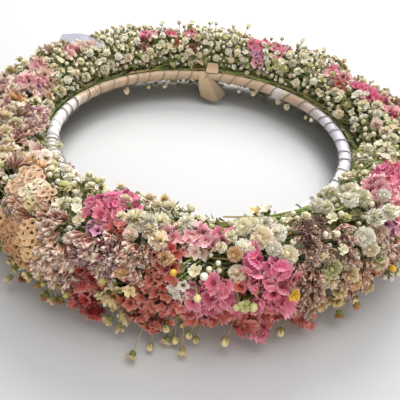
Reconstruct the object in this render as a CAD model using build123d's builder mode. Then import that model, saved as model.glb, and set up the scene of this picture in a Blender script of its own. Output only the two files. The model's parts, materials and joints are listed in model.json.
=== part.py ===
from build123d import *
import math
import os

# Dried-flower crown, built as separate pieces in one frame: millimetres, +Z up, the hoop's axis on Z,
# the flower heads standing on z = 0. Angles are measured from +X towards +Y; the front is at 270 degrees.

# --- hoop: a cane ring wound in satin ribbon ---
hoop_radius = 94.0          # centreline of the ring
hoop_height = 22.0          # centreline above the table, held up by the flower heads
cane_radius = 3.2
ribbon_layers = 0.6         # two overlapping layers of satin over the cane
cane_gap = 0.05             # the ribbon lies on the cane with this much air
wrap_radius = cane_radius + cane_gap + ribbon_layers

# --- stem bundles: three stems side by side on the hoop's outer face ---
stem_radius = 1.1
stem_rise = 2.0             # height step between neighbouring stems
bundle_radius = 99.3        # where the bundle's arc runs
twig_radius = 0.8           # side twigs that leave the bundle for the flowers
bundle_end_gap = 0.7        # degrees left free at each end of a bundle

# --- binding wire: one length, wound round hoop and stems ---
wire_radius = 0.4
wire_inner = 89.6           # run inside the hoop
wire_outer = 101.45         # run outside the stems
wire_half_height = 4.4
wire_bend = 3.9             # bend radius at the corners of each turn
turn_pitch = 7.5            # degrees between open turns
coil_start = 196.0          # the wire starts with a tight coil here
coil_turns = 6
coil_pitch = 2.75           # degrees between tight turns

# --- flower heads: one rounded wedge for each bunch ---
bunch_count = 24
bunch_span = 360.0 / bunch_count
bunch_phase = -5.0          # where the first bunch begins
twig_pitch = bunch_span / 4
turn_offset = twig_pitch / 2  # the first turn of a bunch, halfway between its edge and its first twig
head_gap = 0.35             # degrees left free at each side of a head
head_inner = 104.0          # inner face, clear of wire and twigs
lip_inner = 96.5            # flowers lean in over the hoop as far as this
lip_height = 27.7           # underside of that lean
foot_inset = 7.0            # the outer edge curls up off the table
shoulder_inset = 11.0       # the outer edge curls in at the top
head_round = 3.0

# --- loose ribbon ends ---
ribbon_thickness = 0.4
back_end_width = 14.0
back_end_angle = 87.0
outer_end_width = 10.0
outer_end_angle = 145.0     # it comes out between two bunches here

# Main flower, outer reach and height of each bunch, in order from the right-hand side (0 degrees).
bunches = [
    ("pink_statice", 144.0, 48.0),      # at 0 degrees, right
    ("babys_breath", 141.0, 49.0),
    ("pink_statice", 141.0, 48.0),
    ("babys_breath", 142.0, 50.0),
    ("pink_statice", 143.0, 51.0),
    ("babys_breath", 144.0, 50.0),
    ("babys_breath", 144.0, 51.0),      # at 90 degrees, back
    ("pink_statice", 142.0, 50.0),
    ("babys_breath", 142.0, 49.0),
    ("pale_statice", 143.0, 50.0),
    ("babys_breath", 141.0, 48.0),
    ("pale_statice", 144.0, 47.0),
    ("pale_statice", 144.0, 47.0),      # at 180 degrees, left
    ("sea_lavender", 142.0, 46.0),
    ("babys_breath", 143.0, 45.0),
    ("cream_statice", 145.0, 46.0),
    ("crimson_statice", 146.0, 46.0),
    ("dusky_statice", 144.0, 46.0),
    ("pink_statice", 144.0, 46.0),      # at 270 degrees, front
    ("sea_lavender", 146.0, 46.0),
    ("sea_lavender", 145.0, 46.0),
    ("pink_statice", 144.0, 46.0),
    ("babys_breath", 143.0, 46.0),
    ("babys_breath", 144.0, 47.0),
]

os.makedirs("parts", exist_ok=True)


def save(builder, label):
    """Names one finished piece and writes its file."""
    builder.part.label = label
    export_step(builder.part, f"parts/{label}.step")


def around(radius, degrees, height):
    """The point at a radius and angle round the hoop's axis."""
    turn = math.radians(degrees)
    return (radius * math.cos(turn), radius * math.sin(turn), height)


def turn_angles():
    """Where each turn of the binding wire passes the outer side: a tight coil, then open turns."""
    coil = [coil_start + coil_pitch * turn for turn in range(coil_turns)]
    first_open = bunch_phase + turn_offset
    while first_open < coil[-1] + coil_pitch:
        first_open += turn_pitch
    last_open = coil_start + 360 - turn_pitch
    count = int((last_open - first_open) / turn_pitch) + 1
    return coil + [first_open + turn_pitch * turn for turn in range(count)]


# --- cane ring ---
with BuildPart() as hoop_core:
    with BuildSketch(Plane.XZ):
        with Locations((hoop_radius, hoop_height)):
            Circle(cane_radius)
    revolve(axis=Axis.Z)
save(hoop_core, "hoop_core")

# --- satin ribbon wound over the cane ---
with BuildPart() as ribbon_wrap:
    with BuildSketch(Plane.XZ):
        with Locations((hoop_radius, hoop_height)):
            Circle(wrap_radius)
            Circle(cane_radius + cane_gap, mode=Mode.SUBTRACT)
    revolve(axis=Axis.Z)
save(ribbon_wrap, "ribbon_wrap")

# --- binding wire, wound turn by turn round hoop and stems ---
angles = turn_angles()
steps = [b - a for a, b in zip(angles, angles[1:])] + [turn_pitch]
wire_points = []
for angle, step in zip(angles, steps):
    wire_points += [
        around(wire_outer, angle + 0.125 * step, hoop_height + wire_half_height),
        around(wire_inner, angle + 0.375 * step, hoop_height + wire_half_height),
        around(wire_inner, angle + 0.625 * step, hoop_height - wire_half_height),
        around(wire_outer, angle + 0.875 * step, hoop_height - wire_half_height),
    ]
with BuildPart() as binding_wire:
    with BuildLine() as wire_path:
        FilletPolyline(*wire_points, radius=wire_bend)
    with BuildSketch(Plane(origin=wire_path.line @ 0, z_dir=wire_path.line % 0)):
        Circle(wire_radius)
    sweep()
save(binding_wire, "binding_wire")

# --- stem bundles and flower heads, bunch by bunch ---
coil_zone = (coil_start - turn_pitch, coil_start + coil_pitch * coil_turns + 1.0)
for index, (flower, reach, height) in enumerate(bunches):
    start = bunch_phase + index * bunch_span
    number = f"{index + 1:02d}"

    arc = bunch_span - 2 * bundle_end_gap
    bundle_plane = Plane.XZ.rotated((0, 0, start + bundle_end_gap))
    twig_angles = [start + twig_pitch * twig for twig in (1, 2, 3)]
    twig_angles = [a for a in twig_angles if not coil_zone[0] < a < coil_zone[1]]
    with BuildPart() as stems:
        with BuildSketch(bundle_plane):
            with Locations(*[(bundle_radius, hoop_height + stem_rise * row) for row in (-1, 0, 1)]):
                Circle(stem_radius)
        revolve(axis=Axis.Z, revolution_arc=arc)
        for row, twig_angle in enumerate(twig_angles):
            twig_height = hoop_height + stem_rise * (row - 1)
            outward = Vector(*around(1, twig_angle, 0))
            with BuildSketch(Plane(origin=around(bundle_radius, twig_angle, twig_height), z_dir=outward)):
                Circle(twig_radius)
            extrude(amount=head_inner - 0.3 - bundle_radius)
    save(stems, f"bunch_{number}_stems")

    head_plane = Plane.XZ.rotated((0, 0, start + head_gap))
    with BuildPart() as head:
        with BuildSketch(head_plane) as profile:
            with BuildLine():
                Polyline(
                    (head_inner, 0),
                    (reach - foot_inset, 0),
                    (reach, 0.3 * height),
                    (reach, 0.62 * height),
                    (reach - shoulder_inset, height - 2.5),
                    (reach - 2.6 * shoulder_inset, height),
                    (lip_inner + 3.5, height - 5),
                    (lip_inner, height - 12),
                    (lip_inner, lip_height),
                    (head_inner, lip_height),
                    close=True,
                )
            make_face()
            outer_corners = profile.vertices().filter_by(lambda v: v.Z > 1)
            fillet(outer_corners, head_round)
        revolve(axis=Axis.Z, revolution_arc=bunch_span - 2 * head_gap)
    save(head, f"bunch_{number}_{flower}")

# --- ribbon end that hangs inside the hoop at the back ---
end_plane = Plane.XZ.rotated((0, 0, back_end_angle))
with BuildPart() as ribbon_end_back:
    with BuildSketch(end_plane):
        with BuildLine() as hang:
            Polyline((88.7, 25.5), (88.3, 20.0), (86.4, 12.0), (84.3, 5.0))
        trace(line_width=ribbon_thickness)
    extrude(amount=back_end_width / 2, both=True)
save(ribbon_end_back, "ribbon_end_back")

# --- ribbon end that comes out between two bunches, standing on edge ---
end_axis = Plane(origin=(0, 0, 0), x_dir=around(1, outer_end_angle, 0), z_dir=(0, 0, 1))
with BuildPart() as ribbon_end_outer:
    with BuildSketch(end_axis.offset(31.0)):
        with Locations((129.0, 0)):
            Rectangle(50.0, ribbon_thickness)
    extrude(amount=outer_end_width)
save(ribbon_end_outer, "ribbon_end_outer")
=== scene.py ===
import bpy
import json
import math
import numpy as np
from mathutils import Matrix, Vector

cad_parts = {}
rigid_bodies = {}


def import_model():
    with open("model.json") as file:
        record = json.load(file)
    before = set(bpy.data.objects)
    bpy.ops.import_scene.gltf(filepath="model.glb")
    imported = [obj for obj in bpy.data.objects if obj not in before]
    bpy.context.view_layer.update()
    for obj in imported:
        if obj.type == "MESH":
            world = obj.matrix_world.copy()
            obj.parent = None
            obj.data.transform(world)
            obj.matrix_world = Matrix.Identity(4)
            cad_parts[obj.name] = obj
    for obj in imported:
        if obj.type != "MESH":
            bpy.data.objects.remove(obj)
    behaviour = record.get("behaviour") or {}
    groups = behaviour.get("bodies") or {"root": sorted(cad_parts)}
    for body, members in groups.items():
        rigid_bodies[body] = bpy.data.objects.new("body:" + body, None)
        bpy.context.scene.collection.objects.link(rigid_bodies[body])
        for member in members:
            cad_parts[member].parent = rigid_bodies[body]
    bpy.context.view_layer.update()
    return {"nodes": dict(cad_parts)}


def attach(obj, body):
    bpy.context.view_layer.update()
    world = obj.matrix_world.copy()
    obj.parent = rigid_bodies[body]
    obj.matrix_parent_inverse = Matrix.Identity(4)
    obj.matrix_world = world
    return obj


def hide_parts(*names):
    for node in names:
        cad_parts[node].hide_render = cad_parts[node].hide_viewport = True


# A crown of dried flowers bound round a ribbon-wound hoop. Shapes are worked out in millimetres and degrees,
# in the frame's own axes: 0 degrees is +X, 90 the back, 270 the front. A mesh is made from them in metres.

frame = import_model()
scene = bpy.context.scene
RNG = np.random.default_rng(20)
MM = 0.001
MM_IN_A_METRE = 1000
TURN, PHASES = 6.2832, 6.28                  # a turn in radians, and the span of a random phase

# ------------------------------------------------------------------ camera and light, in metres
TILT, ROLL = math.radians(38.2), math.radians(5.5)
FIELD_OF_VIEW = math.radians(50.0)
TARGET = np.array([0.0037, -0.0707, 0.020])
FORWARD = np.array([0.0, math.cos(TILT), -math.sin(TILT)])
DISTANCE = 0.230
EYE = TARGET - DISTANCE * FORWARD


def add_camera():
    """The camera looks down on the front of the crown, rolled a little."""
    data = bpy.data.cameras.new("camera")
    data.angle = FIELD_OF_VIEW
    data.clip_start, data.clip_end = 0.005, 20.0
    camera = bpy.data.objects.new("camera", data)
    scene.collection.objects.link(camera)
    side = np.array([1.0, 0.0, 0.0])
    up = np.cross(side, FORWARD)
    x = side * math.cos(ROLL) + up * math.sin(ROLL)
    y = -side * math.sin(ROLL) + up * math.cos(ROLL)
    camera.matrix_world = Matrix([[x[i], y[i], -FORWARD[i], EYE[i]] for i in range(3)] + [[0, 0, 0, 1]])
    scene.camera = camera


def add_light(name, place, aim, size, power, colour):
    """A round soft light."""
    data = bpy.data.lights.new(name, "AREA")
    data.shape, data.size, data.energy, data.color = "DISK", size, power, colour
    light = bpy.data.objects.new(name, data)
    light.location = place
    light.rotation_mode = "QUATERNION"
    light.rotation_quaternion = (Vector(aim) - Vector(place)).to_track_quat("-Z", "Y")
    scene.collection.objects.link(light)


add_camera()
add_light("window", (0.15, 1.0, 0.95), (0, 0, 0), 0.9, 20.5, (1.0, 0.98, 0.95))
add_light("top", (0.15, 0.0, 1.1), (0, 0, 0), 1.0, 6.6, (1.0, 1.0, 1.0))
add_light("fill", (0.25, -1.15, 0.50), (0, 0, 0.02), 1.0, 3.9, (1.0, 0.90, 0.78))
world = bpy.data.worlds.new("studio")
world.use_nodes = True
world.node_tree.nodes["Background"].inputs["Color"].default_value = (0.80, 0.83, 0.88, 1)
world.node_tree.nodes["Background"].inputs["Strength"].default_value = 0.45
scene.world = world
scene.view_settings.view_transform = "Standard"


# ------------------------------------------------------------------ node materials
def srgb(*colour):
    """0-255 screen colour to the linear colour a shader takes."""
    def linear(c):
        return c / 12.92 if c <= 0.04045 else ((c + 0.055) / 1.055) ** 2.4
    return tuple(linear(c / 255) for c in colour)


class Nodes:
    """Short hand for building a material's nodes round its Principled shader."""

    def __init__(self, name):
        self.mat = bpy.data.materials.new(name)
        self.mat.use_nodes = True
        self.tree = self.mat.node_tree
        self.shader = self.tree.nodes["Principled BSDF"]

    def new(self, kind, **values):
        node = self.tree.nodes.new(kind)
        for name, value in values.items():
            setattr(node, name, value)
        return node

    def put(self, socket, value):
        if isinstance(value, bpy.types.NodeSocket):
            self.tree.links.new(value, socket)
        else:
            socket.default_value = value

    def fill(self, node, values):
        for socket, value in zip(node.inputs, values):
            self.put(socket, value)
        return node.outputs[0]

    def math(self, operation, a, b=0.0, c=0.0):
        return self.fill(self.new("ShaderNodeMath", operation=operation), (a, b, c))

    def times(self, a, b):
        return self.math("MULTIPLY", a, b)

    def line(self, a, slope, start):
        return self.math("MULTIPLY_ADD", a, slope, start)

    def join(self, x, y, z=0.0):
        return self.fill(self.new("ShaderNodeCombineXYZ"), (x, y, z))

    def split(self, vector):
        node = self.new("ShaderNodeSeparateXYZ")
        self.put(node.inputs[0], vector)
        return node.outputs

    def attribute(self, name, output):
        return self.new("ShaderNodeAttribute", attribute_name=name).outputs[output]

    def place(self):
        """A shape's own coordinates: x round or across it, y from its base to its tip."""
        return self.split(self.attribute("tp", "Vector"))[:2]

    def noise(self, vector, scale, detail=3.0, rough=0.55):
        node = self.new("ShaderNodeTexNoise")
        for name, value in (("Vector", vector), ("Scale", scale), ("Detail", detail), ("Roughness", rough)):
            self.put(node.inputs[name], value)
        return node.outputs["Fac"]

    def ramp(self, fac, *stops):
        node = self.new("ShaderNodeValToRGB")
        self.put(node.inputs[0], fac)
        elements = node.color_ramp.elements
        while len(elements) < len(stops):
            elements.new(0.5)
        for element, (position, colour) in zip(elements, stops):
            element.position = position
            element.color = (*colour, 1)
        return node.outputs["Color"]

    def mix(self, fac, a, b, kind="MIX"):
        node = self.new("ShaderNodeMix", data_type="RGBA", blend_type=kind)
        self.put(node.inputs[0], fac)
        for socket, value in ((node.inputs[6], a), (node.inputs[7], b)):
            self.put(socket, value if isinstance(value, bpy.types.NodeSocket) else (*value, 1))
        return node.outputs[2]

    def shade(self, a, b):
        return self.mix(1.0, a, b, "MULTIPLY")

    def bump(self, height, strength, distance):
        node = self.new("ShaderNodeBump")
        node.inputs["Strength"].default_value = strength
        node.inputs["Distance"].default_value = distance
        self.put(node.inputs["Height"], height)
        self.put(self.shader.inputs["Normal"], node.outputs[0])

    def finish(self, colour, roughness, **sockets):
        self.put(self.shader.inputs["Base Color"], colour)
        self.put(self.shader.inputs["Roughness"], roughness)
        for name, value in sockets.items():
            self.shader.inputs[name.replace("_", " ")].default_value = value
        return self.mat


def petal_material(name, throat, deep, mottle, pale, veins=0.0, soft=0.12, at=0.42, core=0.0):
    """A dry papery petal in its own colour: throat and deep tint its base, pale lightens its rim."""
    m = Nodes(name)
    x, y = m.place()
    tint = m.attribute("tint", "Fac")
    grain = m.noise(m.join(m.times(x, 6.0), m.times(y, 3.0), m.times(tint, 37.0)), 2.6, 4.0)
    along = m.ramp(y, (core, throat), (at, deep), (0.78, (1.0,) * 3), (1.0, (1.06,) * 3))
    c = m.shade(m.attribute("col", "Color"), along)
    rim = m.math("SMOOTH_MIN", m.math("MAXIMUM", m.line(y, 5.0, -4.0), 0.0), 1.0, 0.1)
    c = m.mix(m.times(rim, pale), c, (1.0, 0.95, 0.93))
    low, high = 1.0 - mottle, 1.0 + 0.35 * mottle
    c = m.shade(c, m.ramp(grain, (0.3, (low, low * 0.97, low * 0.93)), (0.7, (high,) * 3)))
    if veins:
        vein = m.line(m.math("SINE", m.times(x, veins * TURN)), 0.10, 0.95)
        c = m.shade(c, m.join(vein, vein, vein))
        m.bump(m.math("ADD", vein, m.times(grain, 0.25)), 0.6, 0.0002)
    else:
        m.bump(grain, 0.5, 0.00025)
    m.shader.inputs["Subsurface Radius"].default_value = (0.0012, 0.0007, 0.0005)
    return m.finish(c, m.line(grain, 0.3, 0.55), Sheen_Weight=0.15, Specular_IOR_Level=0.25,
                    Subsurface_Weight=soft)


def streaked(name, rough, colour):
    """Dried green matter, streaked along its length. colour makes the colour from the streaks."""
    m = Nodes(name)
    x, y = m.place()
    tint = m.attribute("tint", "Fac")
    streak = m.noise(m.join(m.times(x, 9.0), m.times(y, 2.0), m.times(tint, 23.0)), 2.0, 4.0, 0.6)
    m.bump(streak, 0.5, 0.0002)
    return m.finish(colour(m, streak, tint), m.line(streak, 0.3, rough), Specular_IOR_Level=0.3)


def stem_colour(m, streak, tint):
    low, high = 0.72, 1.16
    return m.shade(m.attribute("col", "Color"),
                   m.ramp(streak, (0.3, (low, low, low * 0.92)), (0.7, (high, high, high * 0.9))))


def sepal_colour(m, streak, tint):
    c = m.mix(m.line(streak, 1.4, -0.2), srgb(96, 108, 48), srgb(160, 168, 100))
    return m.mix(m.times(m.math("GREATER_THAN", tint, 0.7), 0.5), c, srgb(178, 160, 104))


def satin(name, colour_a, colour_b):
    """Satin ribbon: x along it, y across it, with darker edges as painted shade and a fine weft."""
    m = Nodes(name)
    x, y = m.place()
    fine = m.noise(m.join(m.times(x, 60.0), m.times(y, 5.0), 0.0), 6.0)
    weft = m.math("SINE", m.times(x, 900.0))
    c = m.mix(m.noise(m.join(m.times(x, 1.5), y, 0.0), 2.2), colour_a, colour_b)
    c = m.shade(c, m.attribute("col", "Color"))
    # painted shade: both edges darkened, for the step where one turn of ribbon laps over the next
    c = m.shade(c, m.ramp(y, (0.0, (0.80, 0.78, 0.76)), (0.07, (1.0,) * 3), (0.92, (1.0,) * 3),
                          (1.0, (0.86, 0.85, 0.84))))
    c = m.shade(c, m.ramp(fine, (0.25, (0.90,) * 3), (0.75, (1.04,) * 3)))
    m.bump(m.math("ADD", fine, m.times(weft, 0.12)), 0.35, 0.0002)
    return m.finish(c, m.line(fine, 0.18, 0.26), Sheen_Weight=0.35, Specular_IOR_Level=0.55, Anisotropic=0.4)


def wire_material():
    """Dull wire with fine scratches along it, brighter over the tight turns where it starts."""
    m = Nodes("dull_wire")
    x, y = m.place()
    scratch = m.noise(m.join(m.times(x, 4.0), m.times(y, 260.0), 0.0), 3.0, 4.0)
    in_shade = m.mix(scratch, srgb(118, 110, 102), srgb(176, 168, 156))
    bright = m.mix(scratch, srgb(186, 182, 176), srgb(226, 222, 216))
    c = m.mix(m.ramp(y, (0.105, (1.0,) * 3), (0.13, (0.0,) * 3)), in_shade, bright)
    m.bump(scratch, 0.3, 0.0001)
    return m.finish(c, m.line(scratch, 0.25, 0.32), Metallic=0.4)


def cane_material():
    """Peeled cane with fibres running round the ring."""
    m = Nodes("peeled_cane")
    x, y, z = m.split(m.new("ShaderNodeTexCoord").outputs["Object"])
    fibre = m.noise(m.join(m.times(m.math("ARCTAN2", y, x), 6.0), m.times(z, 2200.0), 0.0), 3.0, 4.0)
    m.bump(fibre, 0.5, 0.0003)
    return m.finish(m.mix(fibre, srgb(150, 116, 74), srgb(206, 176, 128)), m.line(fibre, 0.2, 0.5))


MAT = {
    "statice": petal_material("papery_statice", (0.50, 0.30, 0.27), (0.84, 0.68, 0.70), 0.16, 0.26,
                              veins=15.0),
    "lace": petal_material("cream_statice_petal", (0.15, 0.14, 0.06), (0.86, 0.80, 0.68), 0.16, 0.25,
                           veins=12.0, at=0.52, core=0.38),
    "pompom": petal_material("babys_breath_petal", (0.74, 0.70, 0.52), (0.95, 0.93, 0.86), 0.10, 0.3,
                             soft=0.2),
    "bud": petal_material("babys_breath_bud", (0.74, 0.74, 0.54), (0.95, 0.94, 0.86), 0.15, 0.15, soft=0.2),
    "floret": petal_material("sea_lavender_floret", (0.50, 0.30, 0.24), (0.80, 0.62, 0.56), 0.3, 0.55),
    "sepal": streaked("sepal", 0.5, sepal_colour),
    "stem": streaked("dried_stem", 0.45, stem_colour),
    "ribbon": satin("satin_ribbon", srgb(246, 243, 248), srgb(232, 222, 214)),
    "ribbon_end": satin("satin_ribbon_end", srgb(222, 196, 158), srgb(206, 180, 146)),
    "ribbon_lilac": satin("satin_ribbon_lilac", srgb(232, 230, 250), srgb(222, 218, 240)),
    "wire": wire_material(),
}

COL = {name: np.array(srgb(*colour)) for name, colour in {
    "vivid": (238, 126, 168), "pink": (241, 140, 164), "light": (244, 182, 190), "dusky": (208, 120, 98),
    "crimson": (192, 76, 68), "pale": (244, 212, 206), "cream": (246, 232, 202), "peach": (234, 192, 140),
    "amber": (190, 136, 84), "lilac": (224, 162, 194), "plum": (144, 78, 74), "white": (249, 246, 230),
    "ivory": (243, 237, 208), "butter": (238, 218, 166), "lime": (208, 206, 144), "olive": (192, 176, 104),
    "rosy": (224, 122, 112), "mauve": (172, 122, 98), "heather": (178, 126, 130), "brown": (164, 120, 88),
    "rosecream": (228, 190, 156), "tan": (204, 168, 138), "silver": (244, 220, 198), "blush": (247, 224, 208),
    "yellow": (240, 192, 58), "orchid": (196, 138, 132), "stem": (140, 150, 98), "fresh": (154, 172, 100),
    "moss": (122, 132, 84), "straw": (176, 158, 108), "twig": (132, 106, 76), "leaf": (116, 128, 74),
}.items()}


# ------------------------------------------------------------------ small shapes
PETAL, SEPAL = (0.0, 0.0, 1.0, 0.62), (0.0, 0.68, 1.0, 1.0)      # their parts of an atlas tile
GOLDEN_ANGLE, GOLDEN_SHARE = 137.5, 0.61803  # in degrees, and as a share of a range
TUBE, FLARE = 0.42, 0.58                     # the parts of a statice funnel's length
FLORET_TUBE = 0.66                           # the part of a sea lavender floret below its teeth
QUARTER = 1.5708                             # a quarter turn in radians


def quads(nu, nv):
    """The faces of a grid of nu by nv cells whose points are counted v first."""
    i = np.arange(nu)[:, None] * (nv + 1) + np.arange(nv)[None, :]
    return np.stack([i, i + nv + 1, i + nv + 2, i + 1], -1).reshape(-1, 4)


def pairs(*columns):
    """Broadcast columns, one row for each point."""
    return np.stack(np.broadcast_arrays(*columns), -1).reshape(-1, len(columns))


def grid(fn, nu, nv, mat, rect):
    """A patch fn(u, v) -> x, y, z: points, faces, place in its atlas tile, own coordinates, material."""
    u, v = np.meshgrid(np.linspace(0, 1, nu + 1), np.linspace(0, 1, nv + 1), indexing="ij")
    q = quads(nu, nv)
    uv = pairs(rect[0] + u * (rect[2] - rect[0]), rect[1] + v * (rect[3] - rect[1]))
    return pairs(*fn(u, v)), q, uv, pairs(u, v, 0.0), np.full(len(q), mat)


def petals(fn, nu, nv):
    return grid(fn, nu, nv, 0, PETAL)


def greens(fn, nu, nv):
    return grid(fn, nu, nv, 1, SEPAL)


def join(parts):
    """Several patches as one shape."""
    offsets = np.cumsum([0] + [len(part[0]) for part in parts[:-1]])
    points, faces, *rest = zip(*parts)
    faces = [q + offset for q, offset in zip(faces, offsets)]
    return tuple(np.concatenate(arrays) for arrays in (points, faces, *rest))


def polar(r, a, z):
    """A point at a radius, an angle in radians and a height."""
    return r * np.cos(a), r * np.sin(a), z


def sepals(radius, top=-5.0, stretch=1.12):
    """The five-lobed green cup that holds a bud."""
    def f(u, v):
        a = math.tau * u
        lat = np.radians(-90 + (top + 90 + 24 * np.cos(5 * a)) * v)
        return polar(radius * 1.06 * np.cos(lat), a, radius * stretch * (1 + np.sin(lat)) - 0.05)
    return greens(f, 10, 2)


def round_bud(radius, seed):
    """A closed bud of baby's breath in its green cup."""
    def f(u, v):
        a = math.tau * u
        lat = np.radians(-90 + 180 * v)
        r = radius * np.cos(lat) ** 0.8 * (1 - 0.12 * np.abs(np.sin(2.5 * a + seed)) * v ** 2)
        return polar(r, a, radius * 1.12 * (1 + np.sin(lat)))
    return join([petals(f, 8, 4), sepals(radius)])


def petal(turn, lean, length, width, base_z, rng, nu, nv, curl, notch):
    """One petal leaning from the flower's axis by lean degrees, with a ruffled notched tip."""
    t, l = math.radians(turn), math.radians(lean)
    phase, ruffle = rng.random() * PHASES, 0.10 + 0.12 * rng.random()
    twist = rng.normal(0, 0.12)

    def f(u, v):
        s = 2 * u - 1
        w = width / 2 * (0.28 + 0.72 * v ** 0.7)
        reach = length * v * (1 - notch * np.exp(-(s * 3) ** 2) - 0.18 * s ** 2)
        bend = l + curl * v ** 1.5
        x = reach * np.sin(bend)
        y = s * w + twist * x
        z = reach * np.cos(bend) + length * ruffle * np.sin(4.4 * s + phase) * v ** 2
        z = z + 0.10 * length * s ** 2 * v + base_z
        return math.cos(t) * x - math.sin(t) * y, math.sin(t) * x + math.cos(t) * y, z
    return petals(f, nu, nv)


def half_open(seed, radius=1.4, count=8):
    """A bud whose petals are pushing out of the cup."""
    rng = np.random.default_rng(seed)
    parts = [sepals(radius * 0.92, top=8, stretch=1.05)]
    for k in range(count):
        lean = 6 + 30 * (k / count) + rng.normal(0, 4)
        turn = k * GOLDEN_ANGLE + rng.normal(0, 10)
        parts.append(petal(turn, lean, radius * 2.3, radius * 1.25, radius * 0.55, rng, 2, 2, 0.5, 0.12))
    return join(parts)


def double(diameter, seed, count, nu, nv, spread, width):
    """A double flower: layers of crumpled petals round a small dome, over green sepals."""
    rng = np.random.default_rng(seed)
    r = diameter / 2
    parts = []
    for i in range(count):
        t = (i + 0.5) / count
        lean = math.degrees(math.acos(1 - spread * t)) * (0.90 + 0.2 * rng.random())
        length = r * (0.94 + 0.16 * rng.random()) * (0.84 + 0.16 * t)
        turn = i * GOLDEN_ANGLE + rng.normal(0, 10)
        wide = r * width * (0.85 + 0.3 * rng.random())
        parts.append(petal(turn, lean, length, wide, r * 0.42, rng, nu, nv, curl=0.1 + 0.45 * t, notch=0.22))

    def heart(u, v):
        a = math.tau * u
        lat = QUARTER * v
        rr = r * (0.52 if count < 30 else 0.26) * np.cos(lat) * (1 + 0.14 * np.cos(5 * a + seed))
        return polar(rr, a, r * (0.78 + 0.46 * np.sin(lat) * (1 + 0.10 * np.cos(3 * a + seed))))

    def cup(u, v):
        a = math.tau * u
        return polar(r * (0.10 + 0.46 * v * (0.68 + 0.32 * np.cos(5 * a))), a, r * (0.40 * v ** 1.6))
    return join(parts + [petals(heart, 8, 2), greens(cup, 10, 3)])


def statice(rim, height, seed, star=0.05, pleats=15, flat=0.55, nu=60, opening=1.25, ruffle=1.0, neck=1.0):
    """The papery funnel of a statice flower: pleated, with a crumpled and frilled rim."""
    rng = np.random.default_rng(seed)
    ph, wobble = rng.random(7) * PHASES, 0.08 + 0.10 * rng.random()
    skew = rng.normal(0, 0.14, 2)
    torn = rng.normal(0, 0.03 * ruffle, nu + 1)
    torn[-1] = torn[0]
    folds = rng.integers(2, 4)

    def f(u, v):
        a = math.tau * u
        tube, flare = np.clip(v / TUBE, 0, 1), np.clip((v - TUBE) / FLARE, 0, 1)
        pleat = pleats * a + ph[2] + 1.1 * np.sin(2 * a + ph[5])
        frill = np.cos(pleat) * (0.7 + 0.3 * np.cos(3 * a + ph[6]))
        lobes = 1 + flare * (star * np.cos(5 * a + ph[0]) + wobble * ruffle * np.cos(folds * a + ph[1]))
        lobes = lobes + flare ** 2 * 0.07 * ruffle * frill + torn[np.round(u * nu).astype(int)] * flare ** 3
        r = (neck * (0.5 + 0.65 * tube) + (rim - 1.15 * neck) * flare ** opening) * lobes
        wave = 0.40 * np.cos(5 * a + ph[0] + 0.5) + 0.50 * np.cos(folds * a + ph[3])
        z = height * (0.62 * tube + 0.38 * flare ** flat)
        z = z + ruffle * (flare ** 1.6 * wave + flare ** 2 * 0.52 * np.sin(pleat + 0.9))
        return r * np.cos(a) + skew[0] * z * flare, r * np.sin(a) + skew[1] * z * flare, z
    return petals(f, nu, 5)


def floret(seed, length=4.2):
    """A slim tubular floret with a toothed open tip."""
    rng = np.random.default_rng(seed)
    ph = rng.random() * PHASES
    bend = rng.normal(0, 0.25)

    def f(u, v):
        a = math.tau * u
        tip = np.clip(v - FLORET_TUBE, 0, 1) * 3
        teeth = np.cos(5 * a + ph)
        r = 0.20 + 0.36 * np.sin(np.pi * np.clip(v, 0, FLORET_TUBE) * 0.75) + tip * (0.26 + 0.34 * teeth)
        return r * np.cos(a) + bend * v ** 2, r * np.sin(a), length * v * (1 + 0.06 * teeth * tip)
    return petals(f, 8, 4)


def tiny_star(seed, radius=1.5):
    """The small open flower at the end of a sea lavender floret."""
    rng = np.random.default_rng(seed)
    return join([petal(k * 72 + rng.normal(0, 5), 64, radius, radius * 0.7, 0.2, rng, 1, 2, 0.2, -0.2)
                 for k in range(5)])


def blade(seed, length=5.0, width=1.1):
    """A narrow dry bract."""
    bend = np.random.default_rng(seed).normal(0.5, 0.4)

    def f(u, v):
        s = 2 * u - 1
        w = width / 2 * np.sin(np.pi * (0.08 + 0.90 * v))
        return s * w, bend * length * v ** 2 * 0.4, length * v * (1 - 0.1 * v) + 0.12 * width * s ** 2
    return greens(f, 2, 4)


TEMPLATES = {
    "bud": [round_bud(1.3, 0), round_bud(1.4, 1), round_bud(1.2, 2)],
    "half": [half_open(s) for s in range(4)],
    "flower": [double(5.4, 30 + s, 22, 2, 2, 1.18, 0.80) for s in range(6)],
    "puff": [double(6.6, 10 + s, 36, 2, 2, 1.24, 0.60) for s in range(4)],
    "pompom": [double(9.0, s, 84, 2, 3, 1.30, 0.40) for s in range(5)],
    "statice": [statice(3.5 + 0.15 * s, 7.6 - 0.2 * s, s, opening=1.0 + 0.1 * s) for s in range(7)],
    "starry": [statice(3.7, 6.4, 40 + s, star=0.17, nu=45, opening=1.1, ruffle=0.8) for s in range(5)],
    "lace": [statice(3.7, 3.8, 20 + s, star=0.03, pleats=12, flat=0.35, nu=36, opening=0.9, ruffle=0.35,
                     neck=0.72) for s in range(5)],
    "crepe": [statice(3.9, 5.6, 60 + s, star=0.08, pleats=13, flat=0.8, nu=52, opening=0.9, ruffle=1.25)
              for s in range(4)],
    "floret": [floret(s) for s in range(4)],
    "tiny": [tiny_star(s) for s in range(3)],
    "blade": [blade(s) for s in range(4)],
}
# the diameter each kind of baby's breath flower is drawn at
DRAWN = {"bud": 2.8, "half": 3.6, "flower": 5.4, "puff": 6.6, "pompom": 9.0}


# ------------------------------------------------------------------ building merged meshes
def unit(v):
    return v / np.maximum(np.linalg.norm(v, axis=-1, keepdims=True), 1e-9)


def away_from(axis, limit):
    """A direction that is never along the axis: up, or +X where the axis is steep."""
    return np.where(np.abs(axis[:, 2:3]) < limit, np.array([[0, 0, 1.0]]), np.array([[1.0, 0, 0]]))


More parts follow.
